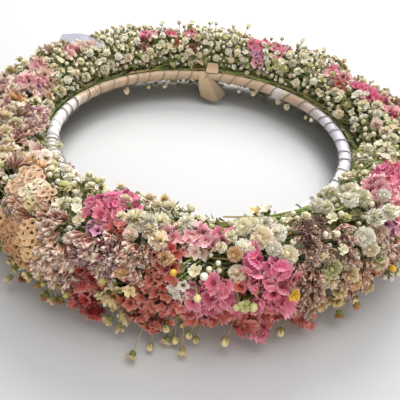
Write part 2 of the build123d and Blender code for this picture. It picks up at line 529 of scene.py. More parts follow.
def frames(axis, spin):
    """Rotation matrices whose Z is axis, turned about it by spin."""
    z = unit(axis)
    x = unit(np.cross(away_from(z, 0.9), z))
    y = np.cross(z, x)
    c, s = np.cos(spin)[:, None], np.sin(spin)[:, None]
    return np.stack([x * c + y * s, -x * s + y * c, z], -1)


def add_mesh(name, points, faces, uv, tp, col, materials, nodes=(), tint=None, face_material=None):
    """One visible piece from arrays in millimetres, with the layers that its material reads."""
    me = bpy.data.meshes.new(name)
    me.vertices.add(len(points))
    me.vertices.foreach_set("co", (points * MM).astype(np.float32).ravel())
    me.loops.add(faces.size)
    me.loops.foreach_set("vertex_index", faces.astype(np.int32).ravel())
    me.polygons.add(len(faces))
    me.polygons.foreach_set("loop_start", np.arange(0, faces.size, 4, dtype=np.int32))
    me.polygons.foreach_set("use_smooth", np.ones(len(faces), bool))
    if face_material is not None:
        me.polygons.foreach_set("material_index", face_material.astype(np.int32))
    me.uv_layers.new(name="OFBake").data.foreach_set("uv", uv[faces.ravel()].astype(np.float32).ravel())
    me.update(calc_edges=True)
    rgba = np.ones((len(points), 4))
    rgba[:, :3] = col
    layers = [("tp", "FLOAT_VECTOR", "vector", tp), ("col", "FLOAT_COLOR", "color", rgba)]
    if tint is not None:
        layers.insert(1, ("tint", "FLOAT", "value", tint))
    for layer, kind, key, data in layers:
        me.attributes.new(layer, kind, "POINT").data.foreach_set(key, data.astype(np.float32).ravel())
    for material in materials:
        me.materials.append(material)
    ob = bpy.data.objects.new(name, me)
    scene.collection.objects.link(ob)
    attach(ob, "root")
    if nodes:
        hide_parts(*nodes)
    return ob


class Piece:
    """Collects copies of small shapes and tubes, and makes them one mesh.

    Copies of one colour share a row of atlas tiles."""

    TILES = 8

    def __init__(self, name, materials, slot, nodes=()):
        self.name, self.materials, self.slot, self.nodes = name, materials, slot, nodes
        self.colours, self.parts = [], []

    def tiles(self, colour, count, rng):
        if colour not in self.colours:
            self.colours.append(colour)
        row = self.colours.index(colour) % self.TILES
        return row * self.TILES + rng.integers(0, self.TILES, count)

    def push(self, p, q, uv, tp, mat, tile, colour):
        """p is copies x points x 3, and q, uv, tp and mat are one copy's."""
        n, count = p.shape[:2]
        corner = np.stack([tile % self.TILES, tile // self.TILES], -1)[:, None, :]
        tint = (tile * GOLDEN_SHARE + 0.13) % 1.0
        col = COL[colour][None] * (1.0 + 0.22 * (tint - 0.5))[:, None]
        self.parts.append((
            p.reshape(-1, 3), (q[None] + (np.arange(n) * count)[:, None, None]).reshape(-1, 4),
            ((corner + 0.06 + 0.88 * uv[None]) / self.TILES).reshape(-1, 2),
            np.tile(tp, (n, 1)), np.tile(mat, n), np.repeat(tint, count), np.repeat(col, count, 0)))

    def copies(self, kind, at, axis, scale, colour, rng):
        """Copies of one kind of shape standing on the points, each turned at random about its axis."""
        at, axis = np.atleast_2d(at), np.atleast_2d(axis)
        n = len(at)
        if n == 0:
            return
        scale = np.broadcast_to(scale, n)
        pick = rng.integers(0, len(TEMPLATES[kind]), n)
        rot = frames(axis, rng.random(n) * TURN)
        tile = self.tiles(colour, n, rng)
        for k, (p, q, uv, tp, mat) in enumerate(TEMPLATES[kind]):
            w = pick == k
            if w.any():
                points = np.einsum("nij,vj->nvi", rot[w], p) * scale[w][:, None, None] + at[w][:, None, :]
                self.push(points, q, uv, tp, mat, tile[w], colour)

    def tubes(self, paths, radii, colour, rng, sides=4):
        """Thin stems. paths is n x k x 3, and radii is n x k or broadcasts to it."""
        paths = np.asarray(paths, float)
        if len(paths) == 0:
            return
        n, k = paths.shape[:2]
        radii = np.broadcast_to(radii, (n, k))
        along = unit(np.gradient(paths, axis=1))
        ref = away_from(unit(paths[:, -1] - paths[:, 0]), 0.8)[:, None, :]
        a1 = unit(np.cross(np.broadcast_to(ref, along.shape), along))
        a2 = np.cross(along, a1)
        angle = (np.arange(sides + 1) * math.tau / sides)[None, None, :, None]
        circle = a1[:, :, None, :] * np.cos(angle) + a2[:, :, None, :] * np.sin(angle)
        p = paths[:, :, None, :] + radii[:, :, None, None] * circle
        v, u = np.meshgrid(np.linspace(0, 1, k), np.linspace(0, 1, sides + 1), indexing="ij")
        q = quads(k - 1, sides)[:, [0, 3, 2, 1]]
        self.push(p.reshape(n, -1, 3), q, pairs(u, v), pairs(u, v, 0.0), np.zeros(len(q), int),
                  self.tiles(colour, n, rng), colour)

    def build(self):
        if not self.parts:
            return
        p, q, uv, tp, mat, tint, col = zip(*self.parts)
        offsets = np.cumsum([0] + [len(x) for x in p[:-1]])
        q = np.concatenate([faces + offset for faces, offset in zip(q, offsets)])
        p, uv, tp, mat, tint, col = (np.concatenate(x) for x in (p, uv, tp, mat, tint, col))
        p[:, 2] = np.maximum(p[:, 2], TABLE_GAP)
        add_mesh(self.name, p, q, uv, tp, col, self.materials, self.nodes, tint, mat)


# ------------------------------------------------------------------ the crown's form
TABLE_GAP, LOWEST_FLOWER = 0.15, 1.2
HOOP_RADIUS, HOOP_HEIGHT = 94.0, 22.0
BODY_RADIUS, BODY_HEIGHT = 119.0, 23.0      # the middle of the flowers' own ring
BODY_WIDE, BODY_UP, BODY_DOWN = 25.0, 23.5, 20.5
CLEAR_OUTSIDE, CLEAR_ABOVE, CLEAR_BELOW = 101.5, 26.8, 15.0    # the room kept free round the wrapped hoop
OPENING_RADIUS = 95.0                       # the head opening, kept free below that room
BUNCHES = range(24)
BUNCH_SPAN, FIRST_BUNCH = 15.0, -5.0
COIL_START, COIL_TURNS, COIL_PITCH, TURN_PITCH = 196.0, 6, 2.75, 7.5


def cosd(a):
    """Cosine of an angle in degrees."""
    return np.cos(np.radians(a))


def sind(a):
    """Sine of an angle in degrees."""
    return np.sin(np.radians(a))


def ring(r, th, z):
    """Points at a radius, an angle in degrees and a height."""
    return np.stack(np.broadcast_arrays(r * cosd(th), r * sind(th), z), -1)


def surf(th, ph, lift=1.0):
    """A point of the flowers' outer surface. ph: 0 outwards, 90 up, 180 towards the head, -90 down."""
    half = np.where(sind(ph) < 0, BODY_DOWN, BODY_UP)
    return ring(BODY_RADIUS + BODY_WIDE * lift * cosd(ph), th, BODY_HEIGHT + half * lift * sind(ph))


def normal(th, ph):
    """Straight out of the flowers' outer surface."""
    return unit(ring(cosd(ph) / BODY_WIDE, th, sind(ph) / BODY_UP))


def tangent(th):
    """Along the hoop, the way the heads lie: towards smaller angles."""
    return np.stack(np.broadcast_arrays(sind(th), -cosd(th), 0.0 * th), -1)


def towards_eye(p):
    """The direction from a point to the camera."""
    return unit(EYE * MM_IN_A_METRE - p)


def bell(x, middle, half):
    """A smooth bump, 1 in its middle."""
    return np.exp(-((x - middle) / half) ** 2)


def arc(th, middle, half):
    """True within half of a middle angle."""
    return np.abs((th - middle + 180.0) % 360.0 - 180.0) < half


def lump(th, ph):
    """How far the loose flowers stand out: more in front and at the back's top, uneven all round."""
    front = np.clip(cosd(th - 272), 0, 1) * np.clip(cosd(ph + 10), 0, 1)
    back = np.clip(cosd(th - 88), 0, 1) * np.clip(sind(ph), 0, 1)
    low = np.clip(-sind(ph + 6), 0, 1)
    tuck = 0.20 * low * bell(th, 240.0, 11.0) + 0.16 * low * bell(th, 259.0, 2.6)
    wave = np.sin(th * 0.161) + np.sin(th * 0.427 + ph * 0.05 + 1.0) + np.sin(th * 0.093 - ph * 0.09 + 4.0)
    return 1.0 + 0.07 * front + 0.20 * back + 0.030 * wave - tuck


def allowed(p, pad=0.0):
    """True where a flower keeps off the hoop, the head opening and the table, and leaves the hoop in view."""
    r, z = np.hypot(p[..., 0], p[..., 1]), p[..., 2]
    th = np.degrees(np.arctan2(p[..., 1], p[..., 0])) % 360
    above = z > CLEAR_BELOW
    near = (r < CLEAR_OUTSIDE + pad) & (z < CLEAR_ABOVE + 0.8 * pad) & (z > CLEAR_BELOW - pad)
    inside = (r < OPENING_RADIUS) & ~above
    over = (r < HOOP_RADIUS - 0.15 * (z - 27)) & above
    front = arc(th, 292, 21) & (z > 27.4 + 0.86 * (r - OPENING_RADIUS))
    left = arc(th, 219, 14) & (z > 26.5 + 0.9 * (r - OPENING_RADIUS))
    side = ~arc(th, 262, 52) & (r < 98.8) & above
    return ~(near | inside | over | front | left | side | (z < LOWEST_FLOWER))


head_node, stem_node = {}, {}
for node in frame["nodes"]:
    if node.startswith("bunch_"):
        (stem_node if node.endswith("_stems") else head_node)[int(node[6:8]) - 1] = node

# each kind's piece name, material and slot
LOOKS = {
    "gyp": ("babys_breath", "bud", "babys_breath_flowers"),
    "pom": ("double_heads", "pompom", "babys_breath_flowers"),
    "statice": ("statice_heads", "statice", None),
    "lace": ("cream_statice_heads", "lace", "statice_cream"),
    "lav": ("sea_lavender_spikes", "floret", "sea_lavender_florets"),
    "green": ("twigs_and_stems", "stem", "stems"),
}
pieces = {}


def piece(kind, th):
    """The piece of one kind of flower in the bunch at an angle."""
    k = int(((th - FIRST_BUNCH) % 360.0) // BUNCH_SPAN)
    if (kind, k) not in pieces:
        label, material, slot = LOOKS[kind]
        if slot is None:
            flower = head_node[k].split("_")[2]
            slot = f"statice_{flower if flower in ('pale', 'crimson', 'dusky') else 'pink'}"
        pieces[kind, k] = Piece(f"bunch_{k + 1:02d}.{label}", [MAT[material], MAT["sepal"]], slot)
    return pieces[kind, k]


def curve(a, mid, b, n):
    """Many bent stems from a to b."""
    k = np.linspace(0, 1, n)[None, :, None]
    return (1 - k) ** 2 * a[:, None] + 2 * k * (1 - k) * mid[:, None] + k ** 2 * b[:, None]


def stem(a, mid, b, n, radius, colour, th, rng):
    """One bent stem in the bunch at an angle."""
    piece("green", th).tubes(curve(a[None], mid[None], b[None], n), radius, colour, rng)


# ------------------------------------------------------------------ flowers placed one by one
def table(text):
    """Rows of numbers and words from text, with a semicolon between rows."""
    return [[float(w) if w[-1].isdigit() else w for w in row.split()] for row in text.split(";")]


# statice clusters: angle, section angle, lift, radius, colour, funnel scale, and kind if not statice
STATICE = table("""
    254.4 121 1.03 5 vivid 0.72; 256.2 107 1.02 4.5 vivid 0.7; 252.6 106 1.03 5 vivid 0.72;
    250 97 1.02 5 vivid 0.72; 253.4 91 1.03 5 vivid 0.72; 251.2 83 1.02 4.5 pink 0.7;
    254.6 76 1.02 5.5 pink 0.7; 257.2 69 1 4 rosy 0.66; 253 64 0.99 4.5 lilac 0.62 starry;
    257 60 0.96 4 orchid 0.6 starry; 254.2 30 0.98 5 crimson 0.68; 252 21 1.01 5.5 crimson 0.72;
    255.6 18 1 5 crimson 0.72; 253.6 5 1.04 6 crimson 0.76; 250.2 5 1.03 5 rosy 0.72;
    256.4 3 1.03 4.5 rosy 0.74; 253.6 -22 1.16 5.5 crimson 0.8; 254.6 -37 1.31 5 crimson 0.8;
    252.2 -37 1.24 4 rosy 0.76; 267.3 74 1.02 3.6 light 0.86 starry; 269.4 73 1.02 4.4 light 0.88 starry;
    272.4 80 1.04 4.4 light 0.9 starry; 273.8 70 1.03 4.6 light 0.88 starry;
    271.2 64 1.01 4.6 blush 0.8 starry; 276.8 77 1 3.4 pink 0.8; 267 57 0.99 4.2 rosy 0.66 starry;
    265 50 0.98 4 dusky 0.62 starry; 267.4 33 1 4.4 rosy 0.74 starry; 265.4 38 0.97 4.4 dusky 0.62 starry;
    262.4 16 0.99 4.6 dusky 0.6 starry; 265.6 20 0.99 4.6 dusky 0.62 starry; 263.4 3 1.04 6 dusky 0.62 starry;
    266.8 3 1.03 5 dusky 0.62 starry; 261.6 -12 1.08 5 dusky 0.62 starry; 265.2 -14 1.08 6 dusky 0.64 starry;
    268.2 -16 1.07 4.6 rosy 0.66 starry; 263.4 -30 1.22 5.4 dusky 0.64 starry;
    266.8 -31 1.26 4.6 dusky 0.64 starry; 265.2 -34 1.38 4 rosy 0.66 starry; 269.4 21 1.03 4 white 0.7 starry;
    270.6 12 1.03 3.2 white 0.66 starry; 270.8 -4 1.04 4.8 rosy 0.8; 268.8 -2 1.03 3.6 rosy 0.76 starry;
    273.6 22 1.06 4.2 pink 0.92; 275.6 28 1.06 4.2 pink 0.94; 272.4 8 1.06 4.6 pink 0.92;
    275.8 12 1.08 5.4 pink 0.96; 273.8 -8 1.08 5.4 pink 0.92; 276.6 -12 1.07 4.6 rosy 0.9;
    275.2 -32 1.1 5 dusky 0.84; 272.8 -30 1.08 4 rosy 0.84; 281.4 50 1.08 3.6 vivid 0.98;
    280.6 38 1.07 4 pink 0.96; 285.4 42 1.08 4.2 vivid 0.94; 286.6 30 1.07 4.4 pink 0.94;
    282.8 30 1.05 4.4 pink 0.9; 279.8 24 1.05 4 rosy 0.86; 285.4 16 1.09 5.2 pink 0.96;
    282.4 8 1.08 5 pink 0.94; 286.2 2 1.09 4.4 pink 0.94; 279.6 -6 1.1 4.6 pink 0.96;
    283.2 -10 1.1 5.4 rosy 0.96; 286 -16 1.1 4.6 rosy 0.94; 281 -22 1.12 4.4 rosy 0.92;
    284.2 -32 1.16 5 rosy 0.94; 281.4 -34 1.28 4.4 rosy 0.98; 283.4 -32 1.4 4 pink 0.94;
    290 -24 1.1 4.6 rosy 0.86; 291.4 -28 1.18 5 dusky 0.96; 292.2 -36 1.34 4.4 rosy 0.9;
    292.8 -14 1.04 3.8 dusky 0.8; 307 4 1.03 4 dusky 0.8 starry; 308.4 10 1.03 3.4 rosy 0.78 starry;
    315.4 88 1.02 5 light 0.74; 318.4 94 1.04 5.6 light 0.76; 321 84 1.05 6 pink 0.78;
    324.4 96 1.06 5.4 vivid 0.78; 318 74 1.03 5.6 light 0.76; 327.6 88 1.05 5.4 pink 0.78;
    325 72 1.05 5.6 vivid 0.78; 314.2 70 1 4.4 blush 0.72; 312.2 52 1.03 5 lilac 0.78;
    314.6 42 1.03 4.4 light 0.76; 332 62 1.05 6 pink 0.78; 322 56 1.05 6 light 0.78;
    21.6 96 1.08 5.4 vivid 0.76; 18.6 90 1.07 5 pink 0.76; 14.8 92 1.07 5.4 vivid 0.76;
    11.4 88 1.06 4.6 pink 0.76; 5.8 84 1.05 5.4 light 0.76; 2.2 78 1.05 4.6 pink 0.76;
    30.4 98 1.07 5.2 light 0.72; 34.8 102 1.06 5 light 0.7; 37 90 1.08 4.4 pink 0.7;
    28.4 114 1 4.6 dusky 0.62; 72 96 1.12 5.6 pink 0.78; 69.4 88 1.14 5.4 vivid 0.78;
    70.6 110 1.06 4.8 pink 0.74; 68.4 122 1.02 5 lilac 0.74; 67 136 1 4.4 light 0.68;
    62.6 92 1.13 5 light 0.78; 59.2 88 1.14 5.2 light 0.78; 60.6 104 1.08 4.4 pink 0.74;
    98.4 90 1.16 5 pink 0.74; 96.6 100 1.12 4.4 light 0.7; 106.8 92 1.14 4.4 pink 0.7;
    114 92 1.13 4.8 light 0.74; 116.8 92 1.12 4.6 pink 0.72; 118.6 118 0.98 4.6 mauve 0.56 starry;
    97 122 0.99 4.6 mauve 0.56 starry; 104 112 1 4.4 dusky 0.56 starry; 145 96 1.07 5 blush 0.7;
    148.4 90 1.06 4.8 light 0.7; 140.6 92 1.07 4.8 blush 0.72; 151.6 100 1.05 4.6 light 0.68;
    165.6 92 1.07 5.2 blush 0.9; 167.2 98 1.1 4.6 light 0.84; 168.4 111 1.05 4.6 blush 0.78;
    179 108 1.07 6.6 light 0.82; 180.4 121 1.04 4.6 lilac 0.76; 176 102 1.07 5.4 blush 0.82;
    183.4 101 1.06 5 light 0.8; 174.6 119 1.03 5 light 0.74; 171 134 1 4.6 blush 0.66 starry;
    177.6 136 1 4.8 rosecream 0.62 starry; 183 128 1.03 4 blush 0.7; 190.8 104 1.06 4.6 peach 0.8 crepe;
    185.4 84 1.07 5 pale 0.78; 181 88 1.07 5.6 blush 0.78; 198.4 124 1.04 3.2 lilac 0.92;
    221.8 114 1.03 5 blush 0.78; 224 122 1.02 4 light 0.74; 213.8 82 1.05 5 peach 0.84 crepe;
    231.4 139 1.03 3.4 lilac 0.62; 233.6 81 1.06 5 rosecream 0.56 lace; 236.2 75 1.09 6 rosecream 0.56 lace;
    238.8 69 1.09 6 cream 0.56 lace; 241.4 69 1.06 4.8 rosecream 0.56 lace;
    235.4 64 1.07 5.4 rosecream 0.56 lace; 239.6 60 1.06 4.6 butter 0.56 lace;
    229.5 98 1.05 6.4 peach 0.84 crepe; 228 108 1.03 4.6 blush 0.8 lace; 225.4 87 1.05 4.4 butter 0.9 crepe;
    222 83 1.04 4 butter 0.84 crepe; 240.4 34 1.08 6 amber 0.58 lace; 243 33 1.09 5.6 peach 0.58 lace;
    238.4 26 1.07 5.4 amber 0.58 lace; 241.6 22 1.08 6 amber 0.58 lace; 244.2 20 1.08 4.8 peach 0.58 lace;
    235.2 30 1.05 5 peach 0.58 lace; 242.8 8 1.07 5.4 amber 0.58 lace; 245.2 4 1.07 4 amber 0.58 lace;
    239 12 1.05 4.8 amber 0.58 lace; 231 26 1.04 5.2 peach 0.58 lace; 196.8 110 1.05 5.6 cream 0.72 lace;
    199.4 102 1.04 4.6 ivory 0.7 lace; 222 76 1.04 5.6 cream 0.72 lace; 219 84 1.03 4.8 blush 0.72 lace;
    257.4 -3 1.1 4.2 butter 1.2 crepe; 258.8 -10 1.13 3.4 butter 1.15 crepe;
    260.6 -34 1.22 4.2 butter 0.92 crepe; 226 52 1.04 6 blush 0.72 lace; 223 30 1.05 5.4 cream 0.7 lace;
    215 58 1.04 5 blush 0.7 lace
""")
# sea lavender sprays: angle and section angle at the start and the end, lift, half width, colour
SPIKES = table("""
    293.2 86 291.6 48 1.03 3.2 mauve; 291.6 50 291.2 8 1.06 3.4 mauve; 291.4 12 291 -16 1.06 3 mauve;
    294.6 84 293 64 1.01 2.2 twig; 297.8 84 295.2 72 1.03 2.4 brown; 300 66 299.2 34 1.02 2.4 mauve;
    301.5 74 300.2 56 1 2 orchid; 302.8 30 302.2 6 1.04 2.4 tan; 298.6 30 298 12 1 2 mauve;
    309 44 307.6 22 1.02 2.6 orchid; 311.5 38 310.4 14 1.02 2.8 mauve; 308.2 60 307.2 46 1 2.2 tan;
    289.4 46 288.6 24 0.98 2.4 orchid; 289 20 288.6 -2 0.97 2.2 twig; 300.8 0 300.2 -24 1.02 2.2 brown;
    303.6 4 303 -18 1.02 2 brown; 295.4 60 294.4 40 0.98 2 mauve; 247.4 44 248 18 1.06 3.2 rosecream;
    249.8 42 250.4 20 1.06 3.2 rosecream; 246.4 34 246.8 8 1.06 3.2 rosecream;
    248.8 20 249.2 -4 1.07 3.2 rosecream; 251 22 251.4 8 1.06 2.8 silver; 247 52 245.6 42 1.04 2.4 cream;
    248.4 60 246 54 1.03 2.2 orchid; 245.2 59 243.6 55 1.03 2 mauve; 240.4 50 239 46 1.04 2.2 mauve;
    237.4 51 236 46 1.03 2 brown; 232.6 44 231.4 36 1.03 2.2 brown; 252.8 56 251.6 44 1.01 2.6 orchid;
    254.4 52 253.6 40 1.01 2.8 orchid; 256.8 44 256.2 28 1.05 2.8 silver; 258.4 60 257 52 1.03 2.6 silver;
    261.6 58 260.8 40 1.01 2.6 dusky; 263.2 60 262.6 46 1.02 2.4 mauve; 259.2 48 258.4 34 1 2.6 silver;
    257 40 256.4 26 1 2.2 orchid; 261.8 38 261.6 28 0.98 2.2 dusky; 250.6 44 251 32 1.01 2.6 plum;
    252.6 40 253.2 34 0.98 2.4 plum; 205 118 201.5 140 1.02 2.6 heather; 209 112 205.5 132 1.02 2.6 heather;
    212.5 104 209.5 120 1.03 2.4 brown; 201 92 197.5 100 1.04 2.6 heather; 206 84 202 92 1.04 2.6 orchid;
    195 138 191.5 148 1 2.4 lilac; 218 96 214.5 108 1.03 2.6 heather; 213.5 76 210.5 88 1.03 2.6 brown;
    221 62 218 72 1.03 2.6 heather; 186 70 183 82 1.03 2.4 heather; 190.5 96 187.5 108 1.02 2.4 orchid;
    228.5 76 226.4 86 1.03 2.4 heather; 230.5 56 228.4 44 1.04 2.6 heather; 206 100 203 112 1.03 2.6 twig
""")
# large double heads: angle, section angle, lift, diameter, colour, and -1 where the cup is in view
POMS = table("""
    280 82 1.06 10.5 ivory; 281.8 86 1.06 9.5 ivory; 282.8 70 1.09 12.5 cream; 284.4 88 1.05 8.5 white;
    286.7 77 1.06 10.5 white; 287.2 53 1.08 10.5 ivory; 284.9 59 1.06 8.5 white; 283.2 84 1.03 9 white;
    278 55 1.04 8.5 peach; 280 64 1.06 9.5 white; 278.4 41 1.02 9.5 cream; 277.6 76 1.02 7 ivory;
    275.6 64 1.03 6 ivory; 281.2 62 1.02 7.5 ivory; 255.3 106 1.08 8 cream; 259 84 1.08 12.5 ivory;
    261.6 84 1.05 11 white; 264.2 87 1.05 10 ivory; 262.2 112 1.06 9.5 ivory; 264.8 110 1.08 10.5 ivory;
    259.2 131 1.1 8.5 cream; 265.2 68 1.05 11 cream; 269 90 1.05 9.5 white; 266 49 1.05 8 peach;
    260 31 1.07 10 peach; 262.8 76 1.05 9 cream; 259.6 66 1.03 8 blush; 256.6 82 1.04 6.5 ivory;
    268.2 84 1.02 7.5 ivory; 244.6 76 1.05 7 ivory; 240 55 1.05 6.5 butter; 298.6 101 1.04 9 white;
    300.6 97 1.04 8.5 ivory; 305.2 117 1.08 9.5 white -1; 307 95 1.09 10.5 white; 309.4 88 1.08 10.5 ivory;
    311 98 1.08 9.5 white; 308.8 106 1.08 9 ivory -1; 312.4 108 1.04 7.5 white; 306.4 64 1.09 10 white -1;
    302.8 50 1.1 11.5 white; 303.4 38 1.07 9.5 cream; 310.4 60 1.1 9.5 white -1; 314.4 76 1.1 8 white;
    307.4 34 1.06 10 ivory; 309.2 44 1.04 8.5 blush; 305.4 14 1.06 10 cream -1; 304.6 -22 1.08 9.5 butter -1;
    298.4 18 1.06 10 butter; 299.6 6 1.08 10.5 peach; 297.6 -4 1.06 9 butter; 298.6 30 1.02 8.5 cream;
    295.4 -32 1.12 10.5 butter; 297.6 -24 1.1 8 butter; 294.4 46 1 10 cream; 295.4 30 1 10 lime;
    296 12 1 9.5 cream; 293.6 20 0.98 9 lime; 288.6 4 0.98 8 butter; 288 -24 1.04 8 butter;
    319.6 141 1.02 10.5 ivory -1; 141.5 152 1 9 ivory; 152.5 156 1 9 ivory; 170 151 1.03 10.5 ivory;
    125.5 92 1.1 8.5 white; 128.5 94 1.08 8 ivory; 121 94 1.09 8 ivory; 137.4 146 1 8.5 ivory;
    128 140 1 8.5 cream; 120 148 1 8 ivory; 14.6 156 1.03 8.5 cream; 10 118 1.06 9.5 ivory;
    355 116 1.06 9.5 blush; 7 100 1.07 9.5 ivory; 350 108 1.05 9.5 cream; 1.5 108 1.05 7.5 white;
    26 130 1.02 8 ivory; 345 100 1.06 8.5 ivory; 233.8 124 1.04 8 white; 236.2 120 1.05 7.5 white;
    231.4 116 1.04 7.5 ivory; 226 134 1.04 7 white; 238.6 112 1.03 7 white; 223 140 1.03 7.5 white;
    197.6 123 1.1 8 blush; 183.6 150 1.06 10 ivory; 185.6 97 1.08 8 cream; 204.7 97 1.12 11 cream;
    208.5 107 1.12 10.5 ivory; 201 106 1.11 9.5 ivory; 213 93 1.12 10.5 cream; 217.4 92 1.05 8.5 ivory;
    210 122 1.03 7.5 butter; 247.4 -18 1.1 7 butter; 243.4 -22 1.08 7.5 butter; 249.6 -24 1.08 8 peach;
    182 118 1.05 8 blush; 45 152 1.02 7.5 ivory; 52 118 1.06 8 ivory; 47 128 1.04 7.5 white;
    85 96 1.12 8 ivory; 92 98 1.12 7.5 white; 80 98 1.13 7.5 ivory; 55 100 1.12 8 ivory; 50 98 1.12 8.5 ivory;
    42 96 1.11 8 cream
""")
# small buds that stand clear on stems of their own: angle, radius, height, diameter, colour,
# section angle of the root, and kind if its size doesn't give it
STRAYS = table("""
    263.5 156 3.6 4.5 butter -24; 265.8 151 3.6 4 butter -24; 268.3 146.5 3.6 4.2 butter -20;
    269.6 147 5 4 butter -16; 270.9 151 3.8 4.2 butter -20; 273 146 4.4 3.8 butter -16;
    268 146 11 3.8 butter -10; 271.8 147 9 3.8 butter -10; 237.9 148.3 8 4.2 butter -20;
    239.8 146 8 6.4 amber -20; 240.6 142.6 8 4 butter -20; 240.8 137.4 8 4 butter -20;
    243.1 143.6 8 4 amber -20; 245.3 144.8 7 3.8 butter -20; 246 146.3 8 4.2 amber -20;
    247.4 146.1 8 4.2 butter -20; 248.6 144.4 8 4.2 amber -20; 247.3 140.4 8 6.6 butter -20;
    250.2 141 7 4.4 butter -20; 245.6 141 14 5.4 butter -14; 242.4 141 14 5 amber -14;
    258.4 146 9 4.4 butter -14; 260.2 147 6.5 4.2 butter -14; 277.6 149 8.5 4 butter -14;
    287.4 146 7 4 butter -14; 299 146 8 4.4 amber -14; 303 146 9 4 amber -14; 286.4 104 39 4.5 butter 110;
    289.3 104 39 6 white 110 half; 263.4 104 45.4 6.4 butter 110; 267 104 34.5 4.4 lime 120;
    239 103 38.2 5.2 white 125 half; 241.4 110 37 5.6 butter 110 half; 230.3 98.5 37 6 cream 130;
    272.4 147 33 4 butter 30; 279.6 148 30 4.4 lime 10; 281 148 29 4 lime 10; 278.4 148 29 3.8 lime 10;
    287 148 34 4.4 yellow 30; 268.5 140.6 38.5 3.2 yellow 30; 308.6 147 27 4 yellow 10;
    262.2 146 31 4.4 butter 10; 258 147 33 4 olive 10; 64.9 91.5 15 5.4 cream 200 puff;
    50.5 91.5 15.5 5.6 cream 200 puff; 44.8 91 15 6.4 ivory 200 puff; 27.5 91.5 17 4 cream 200;
    32 92.5 15.5 3.6 lime 200; 73 93 14 3.8 cream 200; 112 92 15 4.6 cream 200; 121 93 14 4 lime 200;
    133 92.5 14.5 4.4 cream 200; 210.5 90.5 30.5 6 ivory 150; 98 122 55.5 4.4 ivory 90;
    91 124 56.5 4.4 white 90; 88.5 120 57.5 4 ivory 90; 103 124 55 4 cream 90; 110 122 54.5 4.2 white 90;
    123 122 53.5 4.4 ivory 90; 128 124 52 4 white 90; 76 124 57 4.6 ivory 90; 54 124 56 4.4 ivory 90;
    44 122 55 4.2 ivory 90; 36 126 52.5 4 cream 90; 82 128 54.5 4 cream 90; 155 124 50 4 cream 90;
    160 128 48 4.2 white 90; 188 142 40 4.6 lime 60; 205 145 33 4.4 cream 40
""")

FUNNEL_GAP = {"statice": 4.7, "starry": 5.0, "lace": 4.1, "crepe": 4.6}
PACKING_TRIES = 500
# the colour mixed into each colour of sea lavender
LAVENDER_MIX = {"mauve": "tan", "heather": "silver", "orchid": "silver", "brown": "tan", "twig": "brown",
                "tan": "rosecream", "rosecream": "silver", "silver": "plum", "plum": "orchid"}
heroes = []          # centre and radius of each flower placed here, where the loose baby's breath keeps out


def cluster(rng, th, ph, lift, radius, colour, scale, kind="statice"):
    """A domed patch of papery funnels packed side by side. Lace domes at the left turn to the camera."""
    lace = kind == "lace"
    c = surf(th, ph, lift)
    n, t = normal(th, ph), tangent(th)
    if lace and 225 < th < 250:
        n = unit(n + 1.2 * towards_eye(c))
        t = unit(t - n * float(t @ n))
    s = np.cross(n, t)
    pts = []
    for _ in range(PACKING_TRIES):
        q = rng.uniform(-radius, radius, 2)
        if np.hypot(*q) <= radius and all(np.hypot(*(q - o)) > FUNNEL_GAP[kind] * scale for o in pts):
            pts.append(q)
    pts = np.array(pts if pts else [[0.0, 0.0]])
    count = len(pts)
    u, v = pts[:, :1] / radius, pts[:, 1:] / radius
    loose = 0.3 if lace else 1.0
    lean = (0.95 - 0.4 * lace) * (u * t + v * s)
    axis = unit(n + lean + 0.25 * t * loose + loose * rng.normal(0, 0.2, (count, 3)))
    depth = (3.7 if lace else 7.0) * scale
    dome = n * (u ** 2 + v ** 2) * radius * 0.42
    tip = c + pts[:, :1] * t + pts[:, 1:] * s - dome + n * loose * rng.normal(0, 0.5, (count, 1))
    base = tip - axis * depth
    base[:, 2] += np.clip(4.0 * scale - (base[:, 2] + axis[:, 2] * depth), 0, None)
    base[:, 2] = np.maximum(base[:, 2], LOWEST_FLOWER)
    heads = piece("lace" if kind in ("lace", "crepe") else "statice", th)
    heads.copies(kind, base, axis, scale * rng.uniform(0.88, 1.12, count), colour, rng)
    root = c - n * (radius * 0.9 + 8.0)
    mid = (base + root) / 2 + rng.normal(0, 1.0, base.shape)
    piece("green", th).tubes(curve(np.repeat(root[None], count, 0), mid, base, 4), 0.4, "straw", rng, 3)
    heroes.append((c, radius + 0.8))


